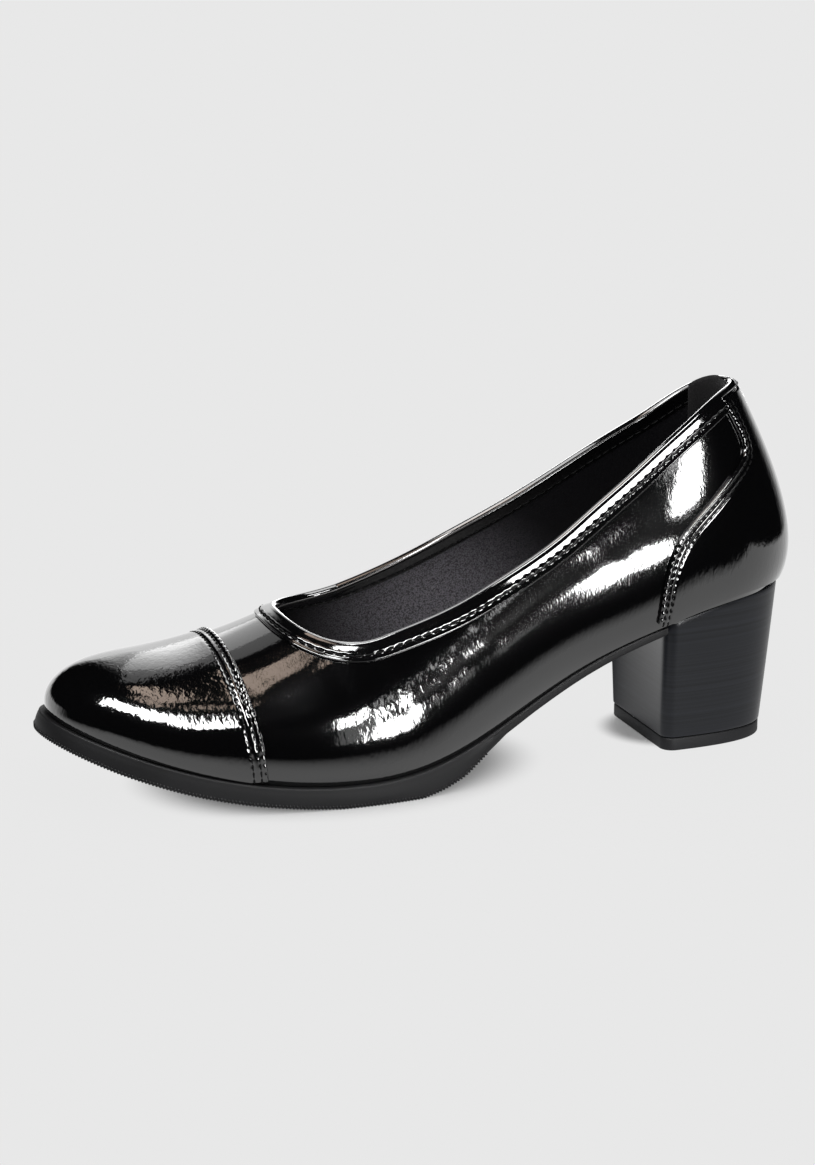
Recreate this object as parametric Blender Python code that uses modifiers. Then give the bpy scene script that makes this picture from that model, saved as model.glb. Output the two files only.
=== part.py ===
"""Left block-heel pump: hollow upper with toe cap, counter and binding, on insole, outsole and heel.

Sizes are in millimetres: x runs from the back of the heel to the toe, +Y is the lateral side and +Z is up.
Meshes are placed in metres with the origin on the floor under the middle of the heel.
"""
import bmesh
import bpy
import numpy as np

MM = 0.001
WELD = 0.00001
HEEL_CENTRE_X = 29.0

# Wall and overlay thicknesses, and the gap between pieces that lie against one another
WALL = 1.7
OVERLAY = 1.0
GAP = 0.3
OVERLAY_GAP = 0.36
OVERLAY_START = 0.04

# One rib per row, from the heel back round either side to the toe tip. The spine point and the fan angle set
# the rib's upright plane; foot is its reach to the feather edge, flare and lift the handle that leaves the
# edge, shoulder and droop the handle that arrives at the ridge, rim the sole's reach past the edge.
RIB_COLUMNS = ("spine_x", "spine_y", "fan", "lat_foot", "med_foot", "lat_flare", "med_flare",
               "lift", "shoulder", "droop", "rim")
RIBS = {
    "heel_back":    (32, 0, 180, 28.1, 28.1, 15.0, 15.0, 20.0, 6.4, 23, 0.3),
    "heel_curve":   (32, 0, 140, 25.8, 25.8, 12.2, 12.2, 20.0, 6.2, 18, 0.3),
    "heel_side":    (36, 0, 105, 24.0, 24.4, 10.0, 10.0, 22.0, 10.5, 12, 0.3),
    "breast":       (54, 0, 93, 24.8, 24.0, 9.0, 10.0, 24.0, 13.0, 7, 0.4),
    "shank":        (80, 0, 90, 25.5, 21.5, 9.0, 12.0, 24.0, 15.0, 3, 0.6),
    "waist":        (108, 0, 90, 29.5, 23.5, 8.2, 12.5, 22.0, 19.0, 1, 1.0),
    "lateral_ball": (140, -1, 90, 36.5, 30.0, 7.0, 10.0, 20.0, 23.5, 0, 1.7),
    "medial_ball":  (168, -2, 90, 37.3, 35.5, 7.0, 8.0, 18.0, 25.5, 0, 1.9),
    "cap_seam":     (192, -4, 82, 34.2, 32.5, 7.0, 7.0, 15.5, 23.5, 0, 2.3),
    "toe_corner":   (206, -5, 55, 30.5, 29.5, 6.5, 6.5, 12.3, 20.8, 0, 2.8),
    "toe_side":     (212, -5, 27, 28.0, 28.0, 5.0, 5.0, 10.0, 17.6, 0, 3.3),
    "toe_tip":      (214, -5, 0, 27.0, 27.0, 3.8, 3.8, 9.0, 16.5, 0, 3.6),
}

# Height of the ridge over the spine; behind the throat it only steers the quarters. Columns: x, height
RIDGE = [
    (28, 143), (36, 139), (54, 126), (80, 105), (108, 86),
    (140, 66.5), (168, 53.3), (192, 44.8), (206, 42.1), (216, 41.8),
]

# Height of the feather edge: heel seat, arch, tread, toe spring. Columns: x, height
FEATHER = [
    (-5, 51.6), (5, 50.6), (25, 48.7), (50, 43.0), (75, 34.4), (100, 22.3), (120, 13.2),
    (140, 8.0), (160, 7.0), (180, 8.3), (200, 12.0), (220, 18.0), (235, 23.4), (250, 29.0),
]

# Height of the collar's edge in side view, behind the throat. Columns: x, lateral height, medial height
TOPLINE = [
    (14, 114.5, 114.5), (20, 114.4, 114.4), (25, 113.9, 111.9), (32, 111.0, 107.1), (40, 105.9, 101.7),
    (51, 98.2, 95.8), (63, 89.4, 89.5), (74, 81.7, 83.5), (86, 73.4, 77.2), (97, 67.1, 71.8),
    (108, 61.7, 66.6), (119, 56.7, 61.4), (130, 52.7, 56.8), (140, 49.7, 53.2), (146, 48.0, 51.3),
]
# The throat is a rounded plan curve from where the side view hands over
THROAT_START_X = 144.0
THROAT_REACH = 27.0
THROAT_AXIS_Y = -2.0
THROAT_SQUARENESS = 2.35

# Front edge of the counter in side view, from the heel breast up to the collar. Columns: height, x
COUNTER_EDGE = [
    (36, 55.8), (45, 54.5), (54, 53.8), (62, 52.2), (69, 49.0), (75, 44.2), (82, 36.2), (88, 29.6),
    (92, 25.2), (95, 22.8), (98, 22.6), (102, 24.0), (106, 26.0), (110, 28.4), (116, 33.0),
]
COUNTER_TOP_MARGIN = 1.0

# Rear edge of the toe cap: its run at the feather edge and how far it moves forward per height
CAP_EDGE_X = 184.3
CAP_EDGE_HEIGHT = 9.0
CAP_EDGE_RAKE = 0.135

# Topline binding: strip width below the collar edge, the bead left over the counter, the roll over the edge,
# and the strip's clearance from the counter
BINDING_WIDTH = 5.6
BINDING_BEAD = 0.6
BINDING_THICK = 0.9
BINDING_ROLL = 1.4
BINDING_CLEAR = 1.5

# Outsole thickness along the local normal of the sole. Columns: x, thickness
SOLE = [
    (45, 2.8), (70, 2.8), (98, 2.8), (108, 3.1), (117, 5.0), (124, 7.2), (131, 8.0), (140, 8.2),
    (152, 7.6), (164, 6.6), (180, 6.3), (205, 6.4), (225, 6.3), (240, 5.8), (250, 5.5),
]
# Its tail at the heel breast, the run over which its edge comes upright there, and the form of the edge
SOLE_TAIL_X = 50.4
SOLE_LEAN_RUN = 25.0
SOLE_TOP_CHAMFER = 0.5
SOLE_LOW_CHAMFER = 0.8
SOLE_BULGE = 0.2

# Heel outline at the heel tip and at the seat: front x, back x, half width, squareness
HEEL_FOOT = (49.2, 8.8, 21.8, 3.0)
HEEL_SEAT = (50.0, 3.3, 24.6, 2.5)
HEEL_CORNER = 4.0
HEEL_TIP_THICK = 4.2
HEEL_TIP_INSET = 0.2
HEEL_TIP_CHAMFER = 0.5

INSOLE_INSET = 2.4
INSOLE_THICK = 2.6
INSOLE_CHAMFER = 0.6

# Facets: columns in each stretch of one side of the upper, rows up its wall, and counts for the other pieces
HEEL_COLUMNS_N = 8
SIDE_COLUMNS_N = 13
THROAT_COLUMNS_N = 8
TOE_COLUMNS_N = 14
HEEL_STRETCH = 44.0
WALL_ROWS = 10
CAP_COLUMNS_N = 13
CAP_ROWS = 12
COUNTER_BACK = 20.0
COUNTER_BACK_N = 10
COUNTER_FRONT_N = 8
COUNTER_ROWS = 16
SOLE_COLUMNS_N = 32
HEEL_ARC_N = 13
HEEL_FILLET_N = 4
HEEL_ROWS = 4

FINISHES = {
    "upper": ("upper_patent_leather", (0.012, 0.012, 0.013), 0.12),
    "toe_cap": ("toe_cap_patent_leather", (0.013, 0.013, 0.014), 0.12),
    "counter": ("counter_patent_leather", (0.013, 0.013, 0.014), 0.12),
    "topline_binding": ("binding_patent_leather", (0.014, 0.014, 0.015), 0.15),
    "insole": ("insole_leather", (0.02, 0.018, 0.02), 0.55),
    "outsole": ("outsole_rubber", (0.022, 0.022, 0.024), 0.6),
    "heel": ("heel_stacked_leather", (0.02, 0.02, 0.022), 0.42),
    "heel_tip": ("heel_tip_rubber", (0.018, 0.018, 0.02), 0.6),
}


def cubic(knots, values, period=None):
    """Smooth curve through the rows: natural ends, or closed when a period is given."""
    knots = np.asarray(knots, float)
    values = np.asarray(values, float)
    if period:
        knots = np.append(knots, knots[0] + period)
        values = np.vstack([values, values[:1]])
    step = np.diff(knots)[:, None]
    slope = np.diff(values, axis=0) / step
    count = len(knots)
    system = np.eye(count)
    right = np.zeros_like(values)
    for i in range(1, count - 1):
        system[i, i - 1:i + 2] = step[i - 1, 0], 2 * (step[i - 1, 0] + step[i, 0]), step[i, 0]
        right[i] = 6 * (slope[i] - slope[i - 1])
    if period:
        system[0, [0, 1, -2, -1]] = 2 * step[0, 0], step[0, 0], step[-1, 0], 2 * step[-1, 0]
        right[0] = 6 * (slope[0] - slope[-1])
        system[-1, [0, -1]] = 1, -1
        right[-1] = 0
    bend = np.linalg.solve(system, right)

    def curve(where):
        where = np.asarray(where, float)
        i = np.clip(np.searchsorted(knots, where, side="right") - 1, 0, count - 2)
        width = step[i]
        a = (knots[i + 1] - where)[..., None] / width
        b = 1 - a
        bow = (a ** 3 - a) * bend[i] + (b ** 3 - b) * bend[i + 1]
        return a * values[i] + b * values[i + 1] + bow * width ** 2 / 6
    return curve


def profile(rows, column=1):
    """One column of a table as a smooth function of its first column."""
    table = np.array(rows, float)
    curve = cubic(table[:, 0], table[:, column:column + 1])
    return lambda where: curve(where)[..., 0]


def linear(rows):
    """The second column of a table as straight runs between its rows."""
    table = np.array(rows, float)
    return lambda where: np.interp(where, table[:, 0], table[:, 1])


def halve(test, low, high, rounds=50):
    """Where a test that is false at low and true at high changes over."""
    low, high = np.broadcast_arrays(np.asarray(low, float), np.asarray(high, float))
    for _ in range(rounds):
        middle = (low + high) / 2
        past = test(middle)
        low = np.where(past, low, middle)
        high = np.where(past, middle, high)
    return (low + high) / 2


def rib_loop():
    """Rib sizes as one closed curve of the run round the feather edge, and the half run."""
    size = dict(zip(RIB_COLUMNS, np.array(list(RIBS.values()), float).T))
    fan = np.radians(size["fan"])
    sides = {}
    for side, sign in (("lat", 1), ("med", -1)):
        foot = size[side + "_foot"]
        sides[side] = np.stack([size["spine_x"] + foot * np.cos(fan), sign * foot * np.sin(fan)], 1)
    chords = [np.linalg.norm(np.diff(edge, axis=0), axis=1) for edge in sides.values()]
    run = np.concatenate([[0], np.cumsum(sum(chords) / 2)])
    half = run[-1]
    shared = ("lift", "shoulder", "droop", "rim")
    rows = {}
    for side, sign in (("lat", 1), ("med", -1)):
        reach = [size[side + "_foot"], size[side + "_flare"]]
        columns = [size["spine_x"], size["spine_y"], sign * fan, *reach]
        rows[side] = np.stack(columns + [size[name] for name in shared], 1)
    table = np.vstack([rows["lat"], rows["med"][-2:0:-1]])
    knots = np.concatenate([run, 2 * half - run[-2:0:-1]])
    table[:, 2] -= np.pi * (1 - knots / half)
    return cubic(knots, table, 2 * half), half, run


rib_curve, HALF, RIB_RUN = rib_loop()
LOOP = 2 * HALF
ridge_height = profile(RIDGE)
feather_height = profile(FEATHER)
topline_height = {1: profile(TOPLINE, 1), -1: profile(TOPLINE, 2)}
counter_edge_x = profile(COUNTER_EDGE)
sole_thickness = linear(SOLE)


def rib_sizes(run):
    """Rib columns at a run round the shoe, with the fan angle's full turn put back."""
    run = np.mod(np.asarray(run, float), LOOP)
    sizes = rib_curve(run)
    sizes[..., 2] += np.pi * (1 - run / HALF)
    return np.moveaxis(sizes, -1, 0)


def last(run, share):
    """Point of the shoe's outer form: share 0 is the feather edge, 1 the ridge."""
    run, share = np.broadcast_arrays(np.asarray(run, float), np.asarray(share, float))
    spine_x, spine_y, fan, foot, flare, lift, shoulder, droop, rim = rib_sizes(run)
    low = feather_height(spine_x + foot * np.cos(fan))
    high = ridge_height(spine_x)
    fall = ridge_height(spine_x + 0.5) - ridge_height(spine_x - 0.5)
    arrive = high + fall * shoulder * np.cos(fan) - droop
    left = 1 - share
    weight = left ** 3, 3 * share * left ** 2, 3 * share ** 2 * left, share ** 3
    reach = weight[0] * foot + weight[1] * (foot + flare) + weight[2] * shoulder
    height = weight[0] * low + weight[1] * (low + lift) + weight[2] * arrive + weight[3] * high
    return np.stack([spine_x + reach * np.cos(fan), spine_y + reach * np.sin(fan), height], -1)


def tangents(run, share):
    """Directions along the run and up the rib."""
    share = np.clip(share, 0.0, 0.995)
    along = (last(run + 0.02, share) - last(run - 0.02, share)) / 0.04
    up = (last(run, share + 0.002) - last(run, share - 0.002)) / 0.004
    return along, up


def unit(vectors):
    return vectors / np.linalg.norm(vectors, axis=-1, keepdims=True)


def outward(run, share):
    """Outward normal; on the ridge the two sides share one."""
    along, up = tangents(run, share)
    normal = unit(np.cross(up, along))
    along, up = tangents(LOOP - np.asarray(run), share)
    other = unit(np.cross(up, along))
    on_ridge = (np.asarray(share) > 0.9999)[..., None]
    return np.where(on_ridge, unit(normal + other), normal)


def walk(run, share, heading, distance, steps=6):
    """Run and share after a walk on the form along a heading."""
    run, share = np.array(run, float), np.array(share, float)
    for _ in range(steps):
        along, up = tangents(run, share)
        aa = np.sum(along * along, -1)
        au = np.sum(along * up, -1)
        uu = np.sum(up * up, -1)
        ha = np.sum(along * heading, -1)
        hu = np.sum(up * heading, -1)
        base = aa * uu - au * au
        run = run + (uu * ha - au * hu) / base * distance / steps
        share = share + (aa * hu - au * ha) / base * distance / steps
    return run, share


def side_of(run):
    return np.where(np.mod(run, LOOP) <= HALF, 1, -1)


def collar_height(x, side):
    x = np.clip(x, TOPLINE[0][0], TOPLINE[-1][0])
    return np.where(side > 0, topline_height[1](x), topline_height[-1](x))


def run_at_spine(x):
    """Lateral run whose rib stands on the spine at x, in front of the heel."""
    return halve(lambda run: rib_sizes(run)[0] > x, RIB_RUN[2], HALF)


def throat_half_width():
    width = {}
    for side in (1, -1):
        run = run_at_spine(THROAT_START_X)
        run = run if side > 0 else LOOP - run
        edge = collar_height(THROAT_START_X, side)
        share = halve(lambda s: last(run, s)[..., 2] > edge, 0.2, 0.95)
        width[side] = abs(float(last(run, share)[..., 1]) - THROAT_AXIS_Y)
    return width


THROAT_HALF = throat_half_width()


def in_mouth(run, share):
    """True above the collar's edge."""
    x, y, z = np.moveaxis(last(run, share), -1, 0)
    side = side_of(run)
    half_width = np.where(side > 0, THROAT_HALF[1], THROAT_HALF[-1])
    ahead = np.clip((x - THROAT_START_X) / THROAT_REACH, 0, 1.5) ** THROAT_SQUARENESS
    across = (np.abs(y - THROAT_AXIS_Y) / half_width) ** THROAT_SQUARENESS
    return np.where(x > THROAT_START_X, ahead + across < 1, z > collar_height(x, side))


def collar_share(run):
    return halve(lambda share: in_mouth(run, share), 0.25, 1.0)


THROAT_RUN = float(run_at_spine(THROAT_START_X + THROAT_REACH))


def half_columns():
    """Runs of one side's columns: heel, side, round the throat, then vamp and toe."""
    start = float(run_at_spine(THROAT_START_X))
    heel = np.linspace(0, HEEL_STRETCH, HEEL_COLUMNS_N, endpoint=False)
    side = np.linspace(HEEL_STRETCH, start, SIDE_COLUMNS_N, endpoint=False)
    turn = np.linspace(np.pi / 2, 0, THROAT_COLUMNS_N, endpoint=False)
    throat = run_at_spine(THROAT_START_X + THROAT_REACH * np.cos(turn))
    toe = np.linspace(THROAT_RUN, HALF, TOE_COLUMNS_N + 1)
    return np.concatenate([heel, side, throat, toe])


def place(points):
    """Millimetres on the shoe to metres in the part's frame."""
    return (np.asarray(points, float) - (HEEL_CENTRE_X, 0, 0)) * MM


def add_piece(name, points, faces, closed=True):
    """Mesh object with its own finish; a closed skin is turned outward, a sheet keeps its winding."""
    mesh = bpy.data.meshes.new(name)
    mesh.from_pydata([tuple(p) for p in place(points)], [], faces)
    shell = bmesh.new()
    shell.from_mesh(mesh)
    bmesh.ops.remove_doubles(shell, verts=shell.verts, dist=WELD)
    if closed:
        bmesh.ops.recalc_face_normals(shell, faces=shell.faces)
    bmesh.ops.triangulate(shell, faces=shell.faces, quad_method="SHORT_EDGE")
    shell.to_mesh(mesh)
    shell.free()
    label, colour, roughness = FINISHES[name]
    finish = bpy.data.materials.new(label)
    finish.use_nodes = True
    shader = finish.node_tree.nodes["Principled BSDF"]
    shader.inputs["Base Color"].default_value = (*colour, 1)
    shader.inputs["Roughness"].default_value = roughness
    mesh.materials.append(finish)
    piece = bpy.data.objects.new(name, mesh)
    COLLECTION.objects.link(piece)
    return piece


def thicken(piece, thickness, side):
    """Wall on a sheet: side -1 grows inward from it, 1 outward."""
    wall = piece.modifiers.new("wall", "SOLIDIFY")
    wall.thickness = thickness * MM
    wall.offset = side
    wall.use_even_offset = True
    wall.use_quality_normals = True


def grid_faces(columns, rows, wrap):
    """Quads over a grid stored column by column, facing out when columns run heel, lateral, toe."""
    faces = []
    for i in range(columns if wrap else columns - 1):
        j = (i + 1) % columns
        for k in range(rows - 1):
            faces.append((i * rows + k, i * rows + k + 1, j * rows + k + 1, j * rows + k))
    return faces


def build_upper():
    runs = half_columns()
    share = np.where(runs < THROAT_RUN - 1e-6, collar_share(runs), 1.0)
    mirrored = LOOP - runs[-2:0:-1]
    mirrored_share = np.where(mirrored > LOOP - THROAT_RUN + 1e-6, collar_share(mirrored), 1.0)
    all_runs = np.concatenate([runs, mirrored])[:, None]
    all_tops = np.concatenate([share, mirrored_share])[:, None]
    rows = np.linspace(0, 1, WALL_ROWS + 1)[None]
    points = last(all_runs, all_tops * rows)
    faces = grid_faces(len(all_runs), WALL_ROWS + 1, True)
    sheet = add_piece("upper", points.reshape(-1, 3), faces, closed=False)
    thicken(sheet, WALL, -1)


def build_toe_cap():
    share = np.linspace(OVERLAY_START, 1, CAP_ROWS + 1)

    def behind_edge(run):
        x, _, z = np.moveaxis(last(run, share), -1, 0)
        return x > CAP_EDGE_X + CAP_EDGE_RAKE * (z - CAP_EDGE_HEIGHT)

    lateral = halve(behind_edge, np.full_like(share, RIB_RUN[7]), HALF)
    medial = halve(lambda back: behind_edge(LOOP - back), np.full_like(share, RIB_RUN[7]), HALF)
    part = np.linspace(0, 1, CAP_COLUMNS_N + 1)[:, None]
    front = lateral + (HALF - lateral) * part
    back = LOOP - (medial + (HALF - medial) * part[-2::-1])
    runs = np.vstack([front, back])
    shares = np.broadcast_to(share, runs.shape)
    points = last(runs, shares) + OVERLAY_GAP * outward(runs, shares)
    faces = grid_faces(len(runs), CAP_ROWS + 1, False)
    sheet = add_piece("toe_cap", points.reshape(-1, 3), faces, closed=False)
    thicken(sheet, OVERLAY, 1)


def counter_share(run, part):
    """Share at a part of the counter's height, under the bead of the collar."""
    top = collar_share(run)
    _, up = tangents(run, top)
    top = top - COUNTER_TOP_MARGIN / np.linalg.norm(up, axis=-1)
    return OVERLAY_START + (top - OVERLAY_START) * part


def build_counter():
    part = np.linspace(0, 1, COUNTER_ROWS + 1)
    reach = {}
    for side in (1, -1):
        def past_edge(run):
            x, _, z = np.moveaxis(last(side * run, counter_share(side * run, part)), -1, 0)
            return x > counter_edge_x(z)
        reach[side] = halve(past_edge, np.full_like(part, 4.0), 80.0)
    across = np.linspace(0, 1, COUNTER_FRONT_N + 1)[:, None]
    back = np.linspace(-COUNTER_BACK, COUNTER_BACK, COUNTER_BACK_N + 1)[1:-1, None]
    lateral = COUNTER_BACK + across * (reach[1] - COUNTER_BACK)
    medial = -COUNTER_BACK - across[::-1] * (reach[-1] - COUNTER_BACK)
    runs = np.vstack([medial, np.broadcast_to(back, (len(back), len(part))), lateral])
    shares = counter_share(runs, np.broadcast_to(part, runs.shape))
    points = last(runs, shares) + OVERLAY_GAP * outward(runs, shares)
    faces = grid_faces(len(runs), COUNTER_ROWS + 1, False)
    sheet = add_piece("counter", points.reshape(-1, 3), faces, closed=False)
    thicken(sheet, OVERLAY, 1)


def collar_loop():
    """Runs round the whole collar edge from the heel back, doubled where the strip stops at the counter."""
    columns = half_columns()
    columns = columns[columns < THROAT_RUN - 1e-6]
    loop = [*columns, THROAT_RUN, *(LOOP - columns[:0:-1])]

    def ahead_of_counter(run, sign):
        x, _, z = np.moveaxis(last(sign * run, collar_share(sign * run)), -1, 0)
        return x > counter_edge_x(z)

    start = float(halve(lambda run: ahead_of_counter(run, 1), 15.0, 60.0)) + BINDING_CLEAR
    stop = LOOP - float(halve(lambda run: ahead_of_counter(run, -1), 15.0, 60.0)) - BINDING_CLEAR
    step = 0.35
    loop = [run for run in loop if min(abs(run - start), abs(run - stop)) > 2.0]
    loop = np.sort(loop + [start, start + step, stop - step, stop])
    full = (loop > start + step / 2) & (loop < stop - step / 2)
    widths = np.where(full, BINDING_WIDTH, BINDING_BEAD)
    return loop, widths


def build_binding():
    runs, widths = collar_loop()
    at_throat = np.abs(runs - THROAT_RUN) < 1e-6
    shares = np.where(at_throat, 1.0, collar_share(runs))
    edge = last(runs, shares)
    normal = outward(runs, shares)
    course = unit(np.roll(edge, -1, 0) - np.roll(edge, 1, 0))
    course = unit(course - np.sum(course * normal, -1, keepdims=True) * normal)
    down = np.cross(normal, course)
    down = np.where(at_throat[:, None], unit(np.cross(normal, (0, -1, 0))), down)

    def strip(part, rise):
        run, share = walk(runs, shares, down, widths * part)
        return last(run, share) + rise * outward(run, share)

    def roll(out, up):
        return edge + out * normal - up * down

    thick = GAP + BINDING_THICK
    inner = -WALL - 0.2
    section = [
        strip(1.0, GAP), strip(1.0, thick - 0.2), strip(0.5, thick), roll(thick, 0.2),
        roll(0.5, BINDING_ROLL - 0.3), roll(-0.8, BINDING_ROLL), roll(inner, BINDING_ROLL - 0.3),
        roll(inner, GAP), roll(GAP, GAP), strip(0.5, GAP),
    ]
    count = len(section)
    points = np.stack(section, 1)
    faces = []
    for i in range(len(runs)):
        j = (i + 1) % len(runs)
        for k in range(count):
            m = (k + 1) % count
            faces.append((i * count + k, i * count + m, j * count + m, j * count + k))
    add_piece("topline_binding", points.reshape(-1, 3), faces)


def slab(name, lateral, medial):
    """Closed solid from rows of matching lateral and medial edge points, bottom row first."""
    rows, count = len(lateral), len(lateral[0])
    ring = np.concatenate([np.asarray(lateral), np.asarray(medial)[:, ::-1]], 1)
    total = 2 * count
    faces = []
    for r in range(rows - 1):
        for i in range(total):
            j = (i + 1) % total
            faces.append((r * total + i, r * total + j, (r + 1) * total + j, (r + 1) * total + i))
    for base in (0, (rows - 1) * total):
        for i in range(count - 1):
            faces.append((base + i, base + i + 1, base + total - 2 - i, base + total - 1 - i))
    return add_piece(name, ring.reshape(-1, 3), faces)


def feather_plan(run):
    """Plan point of the feather edge and its outward direction."""
    point = last(run, 0.0)[..., :2]
    course = last(run + 0.05, 0.0)[..., :2] - last(run - 0.05, 0.0)[..., :2]
    return point, unit(np.stack([-course[..., 1], course[..., 0]], -1))


def sole_edge(run, outset):
    point, out = feather_plan(run)
    rim = rib_sizes(run)[8]
    return point + out * (rim[..., None] + outset)


def build_outsole():
    start = {}
    for side in (1, -1):
        edge = halve(lambda run: sole_edge(side * run, 0.0)[..., 0] > SOLE_TAIL_X, 20.0, 100.0)
        start[side] = float(edge)
    part = np.linspace(0, 1, SOLE_COLUMNS_N + 1)
    sides = {1: [], -1: []}
    # Rows of the edge from the tread up: outset, depth as a share of the thickness plus a size, lowest z
    wall = (
        (-SOLE_LOW_CHAMFER, 1.0, 0.0, 0.0), (0.0, 1.0, -SOLE_LOW_CHAMFER, SOLE_LOW_CHAMFER),
        (SOLE_BULGE, 0.5, 0.0, 0.0), (0.0, 0.0, SOLE_TOP_CHAMFER, 0.0), (-SOLE_TOP_CHAMFER, 0.0, 0.0, 0.0),
    )
    for side in (1, -1):
        run = side * (start[side] + (HALF - start[side]) * part)
        for outset, depth_share, depth_size, floor in wall:
            x, y = np.moveaxis(sole_edge(run, outset), -1, 0)
            x = np.where(part == 0, SOLE_TAIL_X, x)
            top = feather_height(x) - GAP
            tilt = np.arctan(feather_height(x + 0.5) - feather_height(x - 0.5))
            depth = depth_share * sole_thickness(x) + depth_size
            lean = np.clip((x - SOLE_TAIL_X) / SOLE_LEAN_RUN, 0, 1)
            height = np.maximum(top - depth * np.cos(tilt), floor)
            sides[side].append(np.stack([x + depth * np.sin(tilt) * lean, y, height], -1))
    slab("outsole", sides[1], sides[-1])


def heel_outline(level, inset):
    """Lateral half of the heel's D from the back to the breast, level 0 at the foot and 1 at the seat."""
    front, back, half_width, squareness = np.array(HEEL_FOOT) * (1 - level) + np.array(HEEL_SEAT) * level
    front -= inset
    back += inset
    half_width -= inset
    depth = front - back
    corner_x = front - HEEL_CORNER
    end = np.arccos(((front - corner_x) / depth) ** (squareness / 2))
    turn = np.linspace(0, end, HEEL_ARC_N)
    x = front - depth * np.cos(turn) ** (2 / squareness)
    y = half_width * np.sin(turn) ** (2 / squareness)
    bend = np.linspace(np.pi / 2, 0, HEEL_FILLET_N + 1)[1:]
    corner_y = y[-1] - HEEL_CORNER
    x = np.concatenate([x, corner_x + HEEL_CORNER * np.cos(bend)])
    y = np.concatenate([y, corner_y + HEEL_CORNER * np.sin(bend)])
    return x, y


def build_heel():
    foot = HEEL_TIP_THICK + GAP
    rows = []
    for level in np.linspace(0, 1, HEEL_ROWS + 1):
        x, y = heel_outline(level, 0.0)
        height = foot + (feather_height(x) - GAP - foot) * level
        rows.append(np.stack([x, y, height], -1))
    rows = np.array(rows)
    slab("heel", rows, rows * (1, -1, 1))
    rows = []
    for inset, height in ((HEEL_TIP_CHAMFER, 0.0), (0.0, HEEL_TIP_CHAMFER), (0.0, HEEL_TIP_THICK)):
        x, y = heel_outline(0.0, HEEL_TIP_INSET + inset)
        rows.append(np.stack([x, y, np.full_like(x, height)], -1))
    rows = np.array(rows)
    slab("heel_tip", rows, rows * (1, -1, 1))


def build_insole():
    part = np.linspace(0, 1, SOLE_COLUMNS_N + 1)
    sides = {1: [], -1: []}
    levels = ((0.0, 0.0), (0.0, INSOLE_THICK - INSOLE_CHAMFER), (-INSOLE_CHAMFER, INSOLE_THICK))
    for side in (1, -1):
        for outset, height in levels:
            point, out = feather_plan(side * HALF * part)
            x, y = np.moveaxis(point + out * (outset - INSOLE_INSET), -1, 0)
            sides[side].append(np.stack([x, y, feather_height(x) + height], -1))
    slab("insole", sides[1], sides[-1])


for leftover in list(bpy.data.objects):
    bpy.data.objects.remove(leftover)
COLLECTION = bpy.data.collections.new("block_heel_pump")
bpy.context.scene.collection.children.link(COLLECTION)

build_outsole()
build_heel()
build_insole()
build_upper()
build_toe_cap()
build_counter()
build_binding()
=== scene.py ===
"""Looks of a left block-heel pump in black crinkled patent leather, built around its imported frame.

Sizes are in millimetres: x runs from the back of the heel to the toe, +Y is the lateral side and +Z is up.
Meshes are placed in metres in the frame, whose origin is on the floor under the middle of the heel.
"""

import bmesh
import bpy
import numpy as np
from mathutils import Matrix


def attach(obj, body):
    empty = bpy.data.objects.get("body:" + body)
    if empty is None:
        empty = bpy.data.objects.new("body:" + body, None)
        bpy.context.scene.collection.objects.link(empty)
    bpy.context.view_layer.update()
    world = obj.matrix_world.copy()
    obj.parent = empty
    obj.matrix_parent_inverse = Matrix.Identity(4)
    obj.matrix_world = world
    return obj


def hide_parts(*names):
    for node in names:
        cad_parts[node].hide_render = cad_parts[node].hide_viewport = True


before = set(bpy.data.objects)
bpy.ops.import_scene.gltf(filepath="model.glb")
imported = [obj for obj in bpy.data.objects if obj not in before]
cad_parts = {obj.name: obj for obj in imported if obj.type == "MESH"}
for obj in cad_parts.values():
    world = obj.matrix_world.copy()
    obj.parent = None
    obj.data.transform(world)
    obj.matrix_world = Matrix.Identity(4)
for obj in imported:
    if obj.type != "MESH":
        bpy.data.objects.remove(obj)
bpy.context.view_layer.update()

# A millimetre and the welding distance in metres, and the steps of a walk on the form
MM = 0.001
WELD = 0.000003
WALK_STEPS = 4

# The frame's origin on the shoe, the upper's whole wall, its leather, where its lining starts, and the gap
# between the upper and the parts under it
HEEL_CENTRE_X = 29.0
WALL = 1.7
SKIN = 0.85
LINING_FROM = 0.9
GAP = 0.3

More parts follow.
